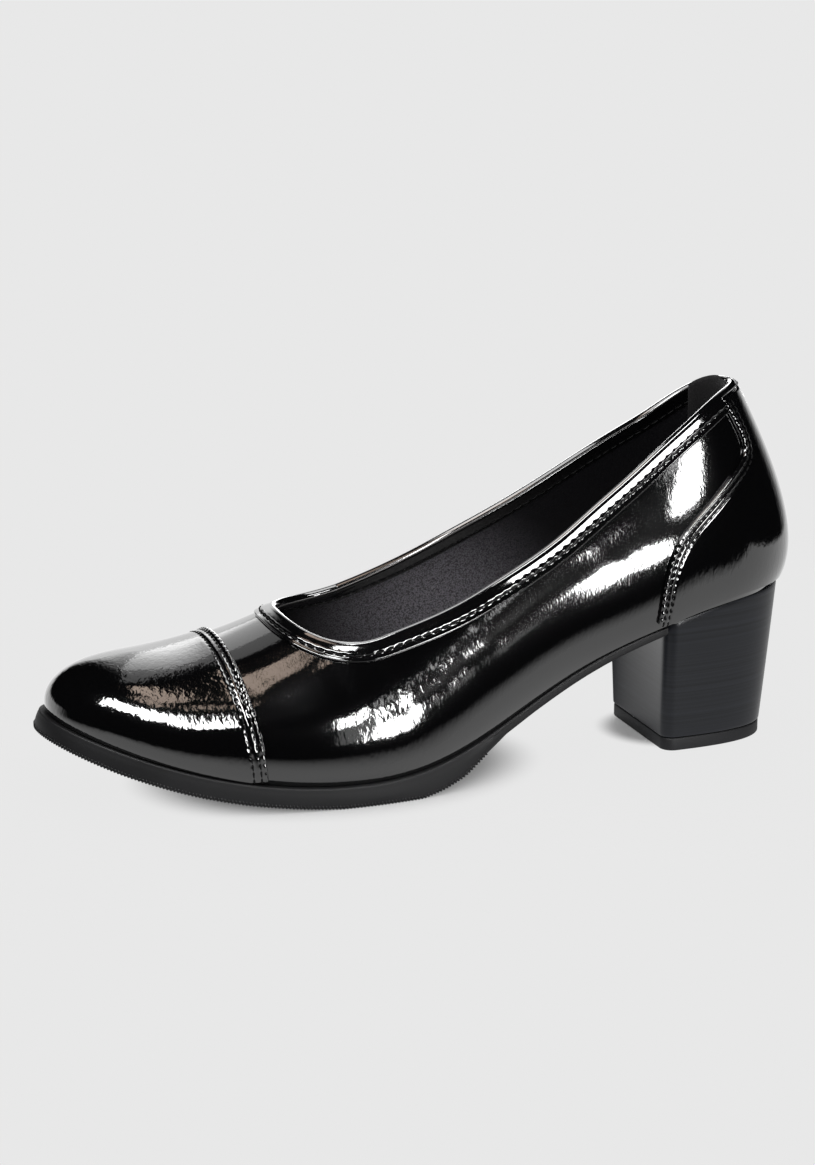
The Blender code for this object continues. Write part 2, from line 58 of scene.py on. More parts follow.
# One rib per row, from the heel back round either side to the toe tip. The spine point and the fan angle set
# the rib's upright plane; foot is its reach to the feather edge, flare and lift the handle that leaves the
# edge, shoulder and droop the handle that arrives at the ridge, rim the sole's reach past the edge.
RIB_COLUMNS = ("spine_x", "spine_y", "fan", "lat_foot", "med_foot", "lat_flare", "med_flare",
               "lift", "shoulder", "droop", "rim")
RIBS = {
    "heel_back":    (32, 0, 180, 28.1, 28.1, 15.0, 15.0, 20.0, 6.4, 23, 0.3),
    "heel_curve":   (32, 0, 140, 25.8, 25.8, 12.2, 12.2, 20.0, 6.2, 18, 0.3),
    "heel_side":    (36, 0, 105, 24.0, 24.4, 10.0, 10.0, 22.0, 10.5, 12, 0.3),
    "breast":       (54, 0, 93, 24.8, 24.0, 9.0, 10.0, 24.0, 13.0, 7, 0.4),
    "shank":        (80, 0, 90, 25.5, 21.5, 9.0, 12.0, 24.0, 15.0, 3, 0.6),
    "waist":        (108, 0, 90, 29.5, 23.5, 8.2, 12.5, 22.0, 19.0, 1, 1.0),
    "lateral_ball": (140, -1, 90, 36.5, 30.0, 7.0, 10.0, 20.0, 23.5, 0, 1.7),
    "medial_ball":  (168, -2, 90, 37.3, 35.5, 7.0, 8.0, 18.0, 25.5, 0, 1.9),
    "cap_seam":     (192, -4, 82, 34.2, 32.5, 7.0, 7.0, 15.5, 23.5, 0, 2.3),
    "toe_corner":   (206, -5, 55, 30.5, 29.5, 6.5, 6.5, 12.3, 20.8, 0, 2.8),
    "toe_side":     (212, -5, 27, 28.0, 28.0, 5.0, 5.0, 10.0, 17.6, 0, 3.3),
    "toe_tip":      (214, -5, 0, 27.0, 27.0, 3.8, 3.8, 9.0, 16.5, 0, 3.6),
}

# Height of the ridge over the spine, and of the feather edge. Columns: x, height
RIDGE = [
    (28, 143), (36, 139), (54, 126), (80, 105), (108, 86),
    (140, 66.5), (168, 53.3), (192, 44.8), (206, 42.1), (216, 41.8),
]
FEATHER = [
    (-5, 51.6), (5, 50.6), (25, 48.7), (50, 43.0), (75, 34.4), (100, 22.3), (120, 13.2),
    (140, 8.0), (160, 7.0), (180, 8.3), (200, 12.0), (220, 18.0), (235, 23.4), (250, 29.0),
]

# Height of the collar's edge in side view, behind the throat. Columns: x, lateral height, medial height
TOPLINE = [
    (14, 114.5, 114.5), (20, 114.4, 114.4), (25, 113.9, 111.9), (32, 111.0, 107.1), (40, 105.9, 101.7),
    (51, 98.2, 95.8), (63, 89.4, 89.5), (74, 81.7, 83.5), (86, 73.4, 77.2), (97, 67.1, 71.8),
    (108, 61.7, 66.6), (119, 56.7, 61.4), (130, 52.7, 56.8), (140, 49.7, 53.2), (146, 48.0, 51.3),
]
THROAT_START_X = 144.0
THROAT_REACH = 27.0
THROAT_AXIS_Y = -2.0
THROAT_SQUARENESS = 2.35

# Front edge of the counter in side view, from the heel breast up to the collar. Columns: height, x. Then its
# margin under the collar, and the parts of its height where its top rounds off and its stitches end
COUNTER_EDGE = [
    (36, 55.8), (45, 54.5), (54, 53.8), (62, 52.2), (69, 49.0), (75, 44.2), (82, 36.2), (88, 29.6),
    (92, 25.2), (95, 22.8), (98, 22.6), (102, 24.0), (106, 26.0), (110, 28.4), (116, 33.0),
]
COUNTER_TOP_MARGIN = 1.0
COUNTER_ROUND_FROM = 0.985
COUNTER_SEWN_TO = 0.955
OVERLAY_START = 0.04

# Rear edge of the toe cap
CAP_EDGE_X = 184.3
CAP_EDGE_HEIGHT = 9.0
CAP_EDGE_RAKE = 0.135

# An overlay's folded edge, from under the fold to the flat of the strap. Columns: way in from the edge, rise
FOLD = [
    (0.45, 0.03), (0.16, 0.16), (0.02, 0.45), (0.0, 0.78), (0.12, 1.12), (0.36, 1.38), (0.75, 1.52),
    (1.1, 1.5),
]
OVERLAY_RISE = 1.36
OVERLAY_SEAT = 0.02
CAP_SEAMS = (2.0, 4.3)
COUNTER_SEAMS = (1.7, 3.3)
SEAM_BAND = 6.4
SEAM_DEPTH = 0.24
SEAM_WIDTH = 0.5
PUCKER = 0.1

# Topline binding: strip down the outside, seam below the edge, and the fold inside
BINDING_WIDTH = 5.6
BINDING_SEAM = 3.6
BINDING_BACK_WIDTH = 0.6
BINDING_INSIDE = 4.8
BINDING_STEP = 0.42
BINDING_RISE = 0.84
BINDING_SINK = 0.24
BINDING_INNER_RISE = 0.42
BINDING_INNER_SINK = 0.16

# The roll of the binding over the collar's edge: middle and radii, each out of the form and up
ROLL_MIDDLE = (-0.62, 0.15)
ROLL_RADII = (1.5, 1.2)

# Swell of the binding over its cord, down from the collar's edge to the seam. Columns: way down, share
BINDING_PUFF = [
    (-0.5, -0.02), (0.4, 0.12), (1.3, 0.46), (2.2, 0.84), (2.75, 1.0), (3.15, 0.9), (3.55, 0.35),
    (3.95, 0.05), (4.4, 0.0), (5.0, 0.0), (6.0, 0.0),
]

# Height of that swell along the collar. Columns: x, height
BINDING_SWELL = [(92, 0.75), (104, 0.7), (113, 0.25)]

# The binding's lower edge, from under it to its face. Columns: way in from the edge, rise
BINDING_EDGE = [(0.25, 0.02), (0.0, 0.14), (0.0, 0.5), (0.1, 0.78)]

# The lining's cut edge, a thin bead beside the binding, in the same way
BEAD_MIDDLE = (-1.72, 0.98)
BEAD_RADII = (0.22, 0.22)

# Stitches: pitches, the share of its pitch that a stitch covers, thread radius and how deep it sinks
BINDING_PITCH = 3.1
CAP_PITCH = 2.5
COUNTER_PITCH = 2.3
STITCH_SHARE = 0.78
THREAD = 0.23
THREAD_SINK = 0.12

# Outsole thickness along the local normal of the sole. Columns: x, thickness
SOLE = [
    (45, 2.8), (70, 2.8), (98, 2.8), (108, 3.1), (117, 5.0), (124, 7.2), (131, 8.0), (140, 8.2),
    (152, 7.6), (164, 6.6), (180, 6.3), (205, 6.4), (225, 6.3), (240, 5.8), (250, 5.5),
]
SOLE_TAIL_X = 50.4
SOLE_LEAN_RUN = 25.0
TREAD_FROM_X = 121.0
TREAD_TO_X = 238.0
TREAD_PITCH = 3.4
EDGE_RIB_PITCH = 1.1
EDGE_RIB_FROM_X = 116.0
EDGE_RIB_RADIUS = 0.32
EDGE_RIB_LENGTH = 1.2
TREAD_BAR_RADIUS = 1.0

# Depth of the tread's recess inside the sole's rim. Columns: x, depth
TREAD_RECESS = [(113, 0.0), (121, 0.8), (241, 0.8), (246, 0.0)]

# Section of the sole's edge, from inside the tread up to its top. Columns: outset past the outline, share of
# the sole's thickness, share of the tread's recess cut away, depth added, least height over the floor
SOLE_EDGE = [
    (-3.3, 1.0, 1.0, 0.0, 0.0), (-2.9, 1.0, 0.9, 0.0, 0.0), (-2.5, 1.0, 0.0, 0.0, 0.0),
    (-0.8, 1.0, 0.0, 0.0, 0.0), (-0.35, 1.0, 0.0, -0.12, 0.12), (-0.1, 1.0, 0.0, -0.4, 0.4),
    (0.0, 1.0, 0.0, -0.8, 0.8), (0.12, 0.75, 0.0, 0.0, 0.0), (0.2, 0.5, 0.0, 0.0, 0.0),
    (0.14, 0.25, 0.0, 0.0, 0.0), (0.02, 0.0, 0.0, 0.9, 0.0), (0.04, 0.0, 0.0, 0.5, 0.0),
    (-0.06, 0.0, 0.0, 0.22, 0.0), (-0.24, 0.0, 0.0, 0.06, 0.0), (-0.5, 0.0, 0.0, 0.0, 0.0),
    (-1.6, 0.0, 0.0, 0.0, 0.0),
]

# Heel outline at the heel tip and at the seat: front x, back x, half width, squareness. Spread is how far its
# sides move out for each millimetre up
HEEL_FOOT = (49.2, 8.8, 21.8, 3.0)
HEEL_SEAT = (50.0, 3.3, 24.6, 2.5)
HEEL_CORNER = 4.0
HEEL_TIP_THICK = 4.2
HEEL_TIP_INSET = 0.2
HEEL_SPREAD = 0.067

# Rounded edges of the heel block, at its foot and at its seat. Columns: level, inset
HEEL_LOW_EDGE = [(0.0, 0.28), (0.004, 0.08), (0.01, 0.0)]
HEEL_TOP_EDGE = [(1.0, 0.2)]

# Rounded edges, bottom first. Columns: inset, height for the heel tip; outset, height for the insole
HEEL_TIP_EDGE = [(0.5, 0.0), (0.2, 0.08), (0.05, 0.28), (0.0, 0.6), (0.0, 3.7), (0.06, 4.0), (0.25, 4.2)]
INSOLE_EDGE = [(0.0, 0.0), (0.0, 2.1), (-0.12, 2.4), (-0.4, 2.56), (-0.8, 2.6)]
INSOLE_INSET = 2.4

# Where a pool of light is painted on the lining and its cut edge, paler there, in the frame: middle and reach,
# each along x and up
LIT_POOL_MIDDLE = (82.0, 40.0)
LIT_POOL_REACH = (36.0, 28.0)

# Heel grip: half its run round the heel, its drop and how far its corners rise, its stand above the collar by
# run, and its depths from the outer form
GRIP_RUN = 31.0
GRIP_DROP = 34.0
GRIP_CORNER = 14.0
GRIP_TOP = [(-20, 2.9), (-4, 3.2), (1, 2.6), (12, 1.2)]
GRIP_BACK = 2.2
GRIP_EDGE = 2.25
GRIP_THICK = 0.75

# Crinkle of the vamp's leather along the shoe, before the bend at the ball is added. Columns: x, amount
CRINKLE = [(95, 0.25), (130, 0.4), (158, 0.4), (174, 0.12)]
BALL_X = 148.0
BALL_RUN = 15.0
BALL_CRINKLE = 0.8
CAP_CRINKLE = 1.2
COUNTER_CRINKLE = 0.8
BINDING_CRINKLE = 0.15

# Soft troughs and ridges where the leather bends, drawn on the side wall.
# Columns: side, x, height, half length, half width, rise, lean from upright in degrees
CREASES = [
    (1, 146, 36, 9.0, 2.6, -0.10, 24), (1, 153, 31, 10.0, 2.8, 0.10, 20),
    (1, 139, 33, 9.0, 2.6, 0.09, 30), (1, 160, 34, 8.0, 3.0, -0.08, 16),
    (1, 132, 40, 10.0, 3.0, -0.09, 38), (1, 124, 44, 11.0, 3.2, 0.09, 42),
    (1, 115, 48, 11.0, 3.2, -0.08, 46), (1, 70, 66, 9.0, 3.4, 0.07, 60),
    (1, 60, 84, 9.0, 3.4, -0.07, 30), (-1, 168, 30, 9.0, 2.8, -0.10, -20),
    (-1, 160, 34, 9.0, 2.8, 0.10, -24), (-1, 151, 36, 9.0, 2.8, -0.09, -28),
    (-1, 140, 41, 10.0, 3.0, 0.08, -38), (-1, 128, 46, 11.0, 3.2, -0.08, -42),
    (-1, 66, 74, 9.0, 3.4, 0.06, -30), (1, 190, 27, 6.0, 10.0, 0.5, 8),
    (1, 191, 37.5, 4.5, 8.5, -0.45, 8), (1, 45, 68, 12.0, 11.0, 0.5, 0),
]


def cubic(knots, values, period=None):
    """Smooth curve through the rows: natural ends, or closed when a period is given."""
    knots = np.asarray(knots, float)
    values = np.asarray(values, float)
    if period:
        knots = np.append(knots, knots[0] + period)
        values = np.vstack([values, values[:1]])
    step = np.diff(knots)[:, None]
    slope = np.diff(values, axis=0) / step
    count = len(knots)
    system = np.eye(count)
    right = np.zeros_like(values)
    for i in range(1, count - 1):
        system[i, i - 1:i + 2] = step[i - 1, 0], 2 * (step[i - 1, 0] + step[i, 0]), step[i, 0]
        right[i] = 6 * (slope[i] - slope[i - 1])
    if period:
        system[0, [0, 1, -2, -1]] = 2 * step[0, 0], step[0, 0], step[-1, 0], 2 * step[-1, 0]
        right[0] = 6 * (slope[0] - slope[-1])
        system[-1, [0, -1]] = 1, -1
        right[-1] = 0
    bend = np.linalg.solve(system, right)

    def curve(where):
        where = np.asarray(where, float)
        i = np.clip(np.searchsorted(knots, where, side="right") - 1, 0, count - 2)
        width = step[i]
        a = (knots[i + 1] - where)[..., None] / width
        b = 1 - a
        bow = (a ** 3 - a) * bend[i] + (b ** 3 - b) * bend[i + 1]
        return a * values[i] + b * values[i + 1] + bow * width ** 2 / 6
    return curve


def profile(rows, column=1):
    """One column of a table as a smooth function of its first column."""
    table = np.array(rows, float)
    curve = cubic(table[:, 0], table[:, column:column + 1])
    return lambda where: curve(where)[..., 0]


def linear(rows):
    """The second column of a table as straight runs between its rows."""
    table = np.array(rows, float)
    return lambda where: np.interp(where, table[:, 0], table[:, 1])


def halve(test, low, high, rounds=42):
    """Where a test that is false at low and true at high changes over."""
    low, high = np.broadcast_arrays(np.asarray(low, float), np.asarray(high, float))
    for _ in range(rounds):
        middle = (low + high) / 2
        past = test(middle)
        low = np.where(past, low, middle)
        high = np.where(past, middle, high)
    return (low + high) / 2


def rib_loop():
    """Rib sizes as one closed curve of the run round the feather edge, the half run, and each rib's run."""
    size = dict(zip(RIB_COLUMNS, np.array(list(RIBS.values()), float).T))
    fan = np.radians(size["fan"])
    shared = [size[name] for name in ("lift", "shoulder", "droop", "rim")]
    rows, chords = [], []
    for side, sign in (("lat", 1), ("med", -1)):
        foot, flare = size[side + "_foot"], size[side + "_flare"]
        edge = np.stack([size["spine_x"] + foot * np.cos(fan), sign * foot * np.sin(fan)], 1)
        chords.append(np.linalg.norm(np.diff(edge, axis=0), axis=1))
        rows.append(np.stack([size["spine_x"], size["spine_y"], sign * fan, foot, flare, *shared], 1))
    run = np.concatenate([[0], np.cumsum(sum(chords) / 2)])
    half = run[-1]
    table = np.vstack([rows[0], rows[1][-2:0:-1]])
    knots = np.concatenate([run, 2 * half - run[-2:0:-1]])
    table[:, 2] -= np.pi * (1 - knots / half)
    return cubic(knots, table, 2 * half), half, dict(zip(RIBS, run))


rib_curve, HALF, RIB_RUN = rib_loop()
LOOP = 2 * HALF
ridge_height = profile(RIDGE)
feather_height = profile(FEATHER)
topline_height = {1: profile(TOPLINE, 1), -1: profile(TOPLINE, 2)}
counter_edge_x = profile(COUNTER_EDGE)
puff_height = profile(BINDING_PUFF)
sole_thickness = linear(SOLE)
tread_recess = linear(TREAD_RECESS)
binding_swell = linear(BINDING_SWELL)
grip_top = linear(GRIP_TOP)
crinkle_amount = linear(CRINKLE)


def rib_sizes(run):
    """Rib columns at a run round the shoe, with the fan angle's full turn put back."""
    run = np.mod(np.asarray(run, float), LOOP)
    sizes = rib_curve(run)
    sizes[..., 2] += np.pi * (1 - run / HALF)
    return np.moveaxis(sizes, -1, 0)


def last(run, share):
    """Point of the shoe's outer form: share 0 is the feather edge, 1 the ridge."""
    run, share = np.broadcast_arrays(np.asarray(run, float), np.asarray(share, float))
    spine_x, spine_y, fan, foot, flare, lift, shoulder, droop, _ = rib_sizes(run)
    low = feather_height(spine_x + foot * np.cos(fan))
    high = ridge_height(spine_x)
    fall = ridge_height(spine_x + 0.5) - ridge_height(spine_x - 0.5)
    arrive = high + fall * shoulder * np.cos(fan) - droop
    left = 1 - share
    weight = left ** 3, 3 * share * left ** 2, 3 * share ** 2 * left, share ** 3
    reach = weight[0] * foot + weight[1] * (foot + flare) + weight[2] * shoulder
    height = weight[0] * low + weight[1] * (low + lift) + weight[2] * arrive + weight[3] * high
    return np.stack([spine_x + reach * np.cos(fan), spine_y + reach * np.sin(fan), height], -1)


def tangents(run, share):
    """Directions along the run and up the rib."""
    share = np.clip(share, 0.0, 0.995)
    along = (last(run + 0.02, share) - last(run - 0.02, share)) / 0.04
    up = (last(run, share + 0.002) - last(run, share - 0.002)) / 0.004
    return along, up


def unit(vectors):
    return vectors / np.linalg.norm(vectors, axis=-1, keepdims=True)


def outward(run, share):
    """Outward normal; on the ridge the two sides share one."""
    along, up = tangents(run, share)
    normal = unit(np.cross(up, along))
    along, up = tangents(LOOP - np.asarray(run), share)
    other = unit(np.cross(up, along))
    on_ridge = (np.asarray(share) > 0.9999)[..., None]
    return np.where(on_ridge, unit(normal + other), normal)


def raised(run, share, rise):
    """Point that stands a rise off the outer form."""
    return last(run, share) + np.asarray(rise, float)[..., None] * outward(run, share)


def walk(run, share, heading, distance):
    """Run and share after a walk on the form along a heading, at most up to the ridge or down to the edge."""
    run, share = np.array(run, float), np.array(share, float)
    for _ in range(WALK_STEPS):
        along, up = tangents(run, share)
        aa = np.sum(along * along, -1)
        au = np.sum(along * up, -1)
        uu = np.sum(up * up, -1)
        ha = np.sum(along * heading, -1)
        hu = np.sum(up * heading, -1)
        base = aa * uu - au * au
        run = run + (uu * ha - au * hu) / base * distance / WALK_STEPS
        share = share + (aa * hu - au * ha) / base * distance / WALK_STEPS
    return run, np.clip(share, 0, 1)


def side_of(run):
    return np.where(np.mod(run, LOOP) <= HALF, 1, -1)


def collar_height(x, side):
    x = np.clip(x, TOPLINE[0][0], TOPLINE[-1][0])
    return np.where(side > 0, topline_height[1](x), topline_height[-1](x))


def run_at_spine(x):
    """Lateral run whose rib stands on the spine at x, in front of the heel."""
    return halve(lambda run: rib_sizes(run)[0] > x, RIB_RUN["heel_side"], HALF)


def throat_half_width():
    width = {}
    for side in (1, -1):
        run = run_at_spine(THROAT_START_X)
        run = run if side > 0 else LOOP - run
        edge = collar_height(THROAT_START_X, side)
        share = halve(lambda s: last(run, s)[..., 2] > edge, 0.2, 0.95)
        width[side] = abs(float(last(run, share)[..., 1]) - THROAT_AXIS_Y)
    return width


THROAT_HALF = throat_half_width()


def in_mouth(run, share):
    """True above the collar's edge."""
    x, y, z = np.moveaxis(last(run, share), -1, 0)
    side = side_of(run)
    half_width = np.where(side > 0, THROAT_HALF[1], THROAT_HALF[-1])
    ahead = np.clip((x - THROAT_START_X) / THROAT_REACH, 0, 1.5) ** THROAT_SQUARENESS
    across = (np.abs(y - THROAT_AXIS_Y) / half_width) ** THROAT_SQUARENESS
    return np.where(x > THROAT_START_X, ahead + across < 1, z > collar_height(x, side))


def collar_share(run):
    return halve(lambda share: in_mouth(run, share), 0.25, 1.0)


THROAT_FROM = float(run_at_spine(THROAT_START_X))
THROAT_RUN = float(run_at_spine(THROAT_START_X + THROAT_REACH))


def collar_runs(heel_n, throat_n):
    """Runs of one side of the collar, from the heel back to just short of the throat's front."""
    turn = np.linspace(np.pi / 2, 0, throat_n, endpoint=False)
    return np.concatenate([
        np.linspace(0, THROAT_FROM, heel_n, endpoint=False),
        run_at_spine(THROAT_START_X + THROAT_REACH * np.cos(turn)),
    ])


def place(points):
    """Millimetres on the shoe to metres in the part's frame."""
    return (np.asarray(points, float) - (HEEL_CENTRE_X, 0, 0)) * MM


def crease_rise(points):
    """Rise of the soft troughs and ridges at points of the side wall."""
    x, y, z = np.moveaxis(points, -1, 0)
    rise = np.zeros_like(x)
    for side, centre_x, centre_z, length, width, height, lean in CREASES:
        turn = np.radians(lean)
        along = (x - centre_x) * np.sin(turn) + (z - centre_z) * np.cos(turn)
        across = (x - centre_x) * np.cos(turn) - (z - centre_z) * np.sin(turn)
        spot = height * np.exp(-(along / length) ** 2 - (across / width) ** 2)
        rise += np.where(side * y > 0, spot, 0)
    return rise


def flex(points):
    """How crinkled the vamp's leather is: most where the ball of the foot bends, least toward the toe."""
    x = points[..., 0]
    return crinkle_amount(x) + BALL_CRINKLE * np.exp(-((x - BALL_X) / BALL_RUN) ** 2)


def make_mesh(name, points, faces, finish, crinkle=None, sharp=50):
    """Smooth-shaded mesh in metres; crinkle is a value for each point that the leather reads."""
    mesh = bpy.data.meshes.new(name)
    mesh.from_pydata(place(points).tolist(), [], faces)
    if crinkle is not None:
        layer = mesh.attributes.new("crinkle", "FLOAT", "POINT")
        layer.data.foreach_set("value", np.asarray(crinkle, np.float32).ravel())
    shell = bmesh.new()
    shell.from_mesh(mesh)
    bmesh.ops.remove_doubles(shell, verts=shell.verts, dist=WELD)
    bmesh.ops.dissolve_degenerate(shell, edges=shell.edges, dist=WELD)
    shell.to_mesh(mesh)
    shell.free()
    mesh.shade_smooth()
    mesh.set_sharp_from_angle(angle=np.radians(sharp))
    mesh.materials.append(finish)
    return mesh


def add_piece(mesh, replaced=None):
    """Object for a finished mesh, riding on the shoe's one body."""
    piece = bpy.data.objects.new(mesh.name, mesh)
    bpy.context.scene.collection.objects.link(piece)
    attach(piece, "root")
    if replaced:
        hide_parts(replaced)
    return piece


def tube_faces(rings, wrap=True):
    """Quads between neighbouring closed rings of point numbers; wrap joins the last ring to the first."""
    after = np.roll(rings, -1, 0)
    quads = np.stack([rings, np.roll(rings, -1, 1), np.roll(after, -1, 1), after], -1)
    return quads if wrap else quads[:-1]


def strip_faces(near, far):
    """Quads between two rows of point numbers."""
    return np.stack([near[:-1], near[1:], far[1:], far[:-1]], -1)


def wall_mesh(name, outer, inner, finish, wrap, open_top, crinkle=None):
    """Closed wall between an outer and an inner grid of columns, with a rim on top where the top is free."""
    columns, rows = outer.shape[:2]
    near = np.arange(columns * rows).reshape(columns, rows)
    far = near + near.size
    quads = tube_faces(np.hstack([near, far[:, ::-1]]), wrap)
    keep = np.ones(quads.shape[:2], bool)
    keep[:, rows - 1] = (open_top & np.roll(open_top, -1))[:len(quads)]
    faces = [quads[keep]]
    if not wrap:
        faces += [strip_faces(near[0], far[0])[:, ::-1], strip_faces(near[-1], far[-1])]
    if crinkle is not None:
        crinkle = np.tile(np.ravel(crinkle), 2)
    points = np.concatenate([outer.reshape(-1, 3), inner.reshape(-1, 3)])
    return make_mesh(name, points, np.concatenate(faces).tolist(), finish, crinkle)


def tube_mesh(name, section, finish, crinkle=None):
    """Closed tube round a loop, from the path of each corner of its section."""
    points = np.stack(section, 1)
    faces = tube_faces(np.arange(points.size // 3).reshape(points.shape[:2]))
    if crinkle is not None:
        crinkle = np.full(points.shape[:2], crinkle)
    return make_mesh(name, points.reshape(-1, 3), faces.reshape(-1, 4).tolist(), finish, crinkle)


def upper_grid(rows):
    """Runs, shares and free-top marks of the whole upper, heel back first."""
    lateral = np.concatenate([collar_runs(150, 46), np.linspace(THROAT_RUN, HALF, 80)])
    runs = np.concatenate([lateral, LOOP - lateral[-2:0:-1]])
    from_back = np.minimum(runs, LOOP - runs)
    open_top = from_back < THROAT_RUN + 1e-6
    tops = np.where(from_back < THROAT_RUN - 1e-6, collar_share(runs), 1.0)
    shares = tops[:, None] * np.linspace(0, 1, rows)[None]
    return np.broadcast_to(runs[:, None], shares.shape), shares, open_top


def build_upper(leather, lining):
    runs, shares, open_top = upper_grid(56)
    form = last(runs, shares)
    normal = outward(runs, shares)
    skin = form + crease_rise(form)[..., None] * normal
    back = form - SKIN * normal
    mesh = wall_mesh("vamp_and_quarters", skin, back, leather, True, open_top, flex(form))
    add_piece(mesh, "upper")
    face = form - WALL * normal
    mesh = wall_mesh("lining", form - LINING_FROM * normal, face, lining, True, open_top)
    add_piece(mesh)


def seam_rise(way_in, along, seams, pitch):
    """Rise of an overlay behind its fold: sunk along each seam, more at every needle hole."""
    rise = OVERLAY_RISE + 0.1 * np.exp(-((way_in - np.mean(seams)) / 1.1) ** 2)
    for seam in seams:
        hole = 1 + PUCKER / SEAM_DEPTH * np.cos(2 * np.pi * along / pitch)
        rise = rise - SEAM_DEPTH * hole * np.exp(-((way_in - seam) / SEAM_WIDTH) ** 2)
    return rise


def way_along(points):
    """Length walked along a path to each of its points."""
    return np.concatenate([[0], np.cumsum(np.linalg.norm(np.diff(points, axis=0), axis=1))])


def both_sides(lateral, medial):
    """One row from a lateral and a medial half that end at the same point."""
    return np.vstack([lateral, medial[-2::-1]])


def edge_frame(run, share, toward):
    """Way along an edge and the heading on the form that leaves it toward a direction."""
    point = last(run, share)
    heading = np.cross(unit(np.gradient(point, axis=0)), outward(run, share))
    heading *= np.sign(np.sum(heading * toward, -1, keepdims=True))
    return way_along(point), heading


def edge_band(run, share, along, heading, seams, pitch):
    """Columns of an overlay from its fold to the end of its seams: runs, shares and rises."""
    way = np.concatenate([[w for w, _ in FOLD], np.arange(1.35, SEAM_BAND, 0.28)])
    columns = []
    for i, step in enumerate(way):
        r, s = walk(run, share, heading, step)
        if i < len(FOLD):
            rise = FOLD[i][1] * (1 - 0.1 * np.cos(2 * np.pi * along / pitch))
        else:
            rise = seam_rise(step, along, seams, pitch)
        columns.append((r, s, rise))
    return [np.array(part) for part in zip(*columns)]


def seam_path(run, share, heading, way_in):
    """Points and outward directions of a row of stitches."""
    r, s = walk(run, share, heading, way_in)
    return raised(r, s, OVERLAY_RISE - THREAD_SINK + crease_rise(last(r, s))), outward(r, s)


def add_overlay(mesh_name, grids, leather, free_top, crinkle, node):
    """A stitched-on panel that stands its rises off the form and follows the creases under it."""
    runs, shares, rises = grids
    crease = crease_rise(last(runs, shares))
    outer = raised(runs, shares, rises + crease)
    inner = raised(runs, shares, OVERLAY_SEAT + crease)
    top = np.full(len(runs), free_top)
    mesh = wall_mesh(mesh_name, outer, inner, leather, False, top, np.full(runs.shape, crinkle))
    add_piece(mesh, node)


def build_toe_cap(leather):
    share = np.linspace(OVERLAY_START, 1, 132)
    sides = []
    paths = {way: [] for way in CAP_SEAMS}
    for sign in (1, -1):
        def ahead_of_edge(run):
            x, _, z = np.moveaxis(last(sign * run, share), -1, 0)
            return x > CAP_EDGE_X + CAP_EDGE_RAKE * (z - CAP_EDGE_HEIGHT)

        edge = halve(ahead_of_edge, np.full_like(share, RIB_RUN["medial_ball"]), HALF)
        edge = np.mod(sign * edge, LOOP)
        along, heading = edge_frame(edge, share, (1.0, 0, 0))
        band = edge_band(edge, share, along[-1] - along, heading, CAP_SEAMS, CAP_PITCH)
        band[1][:, -1] = 1.0
        for way in CAP_SEAMS:
            paths[way].append(seam_path(edge, share, heading, way))
        part = np.linspace(0, 1, 44)[1:, None]
        ends = (HALF, part), (share, part), (OVERLAY_RISE, np.clip(part * 6, 0, 1))
        grids = [np.vstack([grid, grid[-1] + (end - grid[-1]) * blend])
                 for grid, (end, blend) in zip(band, ends)]
        sides.append(grids if sign > 0 else [grid[-2::-1] for grid in grids])
    grids = [np.vstack(pair) for pair in zip(*sides)]
    add_overlay("toe_cap_leather", grids, leather, False, CAP_CRINKLE, "toe_cap")
    return [[both_sides(*halves) for halves in zip(*paths[way])] for way in CAP_SEAMS]


def counter_share(run, part):
    """Share at a part of the counter's height, under the bead of the collar."""
    top = collar_share(run)
    _, up = tangents(run, top)
    top = top - COUNTER_TOP_MARGIN / np.linalg.norm(up, axis=-1)
    return OVERLAY_START + (top - OVERLAY_START) * part


def build_counter(leather):
    part = np.concatenate([np.linspace(0, 0.97, 150), np.linspace(0.975, 1, 9)])
    edge_round = np.clip((part - COUNTER_ROUND_FROM) / (1 - COUNTER_ROUND_FROM), 0, 1)
    edge_rise = 0.03 + 0.97 * np.sqrt(1 - edge_round ** 2)
    sewn = part < COUNTER_SEWN_TO
    bands, skews, rows_of_stitches = [], [], []
    for sign in (1, -1):
        def ahead_of_edge(run):
            x, _, z = np.moveaxis(last(sign * run, counter_share(sign * run, part)), -1, 0)
            return x > counter_edge_x(z)

        edge = sign * halve(ahead_of_edge, np.full_like(part, 4.0), 80.0)
        share = counter_share(edge, part)
        along, heading = edge_frame(edge, share, (-1.0, 0, 0))
        band = edge_band(edge, share, along, heading, COUNTER_SEAMS, COUNTER_PITCH)
        band[1] = np.minimum(band[1], counter_share(band[0], 1.0))
        bands.append(band)
        skews.append(band[1][-1] - counter_share(band[0][-1], part))
        for way in COUNTER_SEAMS:
            rows_of_stitches.append([row[sewn] for row in seam_path(edge, share, heading, way)])
    lateral, medial = bands
    mid = np.linspace(0, 1, 92)[1:-1, None]
    mid_run = medial[0][-1] + (lateral[0][-1] - medial[0][-1]) * mid
    fade = np.clip(1 - mid * 4, 0, 1) ** 2
    mid_share = counter_share(mid_run, part) + skews[1] * fade + skews[0] * fade[::-1]
    mid_share = np.minimum(mid_share, counter_share(mid_run, 1.0))
    middle = mid_run, mid_share, np.full_like(mid_run, OVERLAY_RISE)
    grids = [np.vstack([m, c, l[::-1]]) for m, c, l in zip(medial, middle, lateral)]
    grids[2] *= edge_rise
    add_overlay("counter_leather", grids, leather, True, COUNTER_CRINKLE, "counter")
    return rows_of_stitches


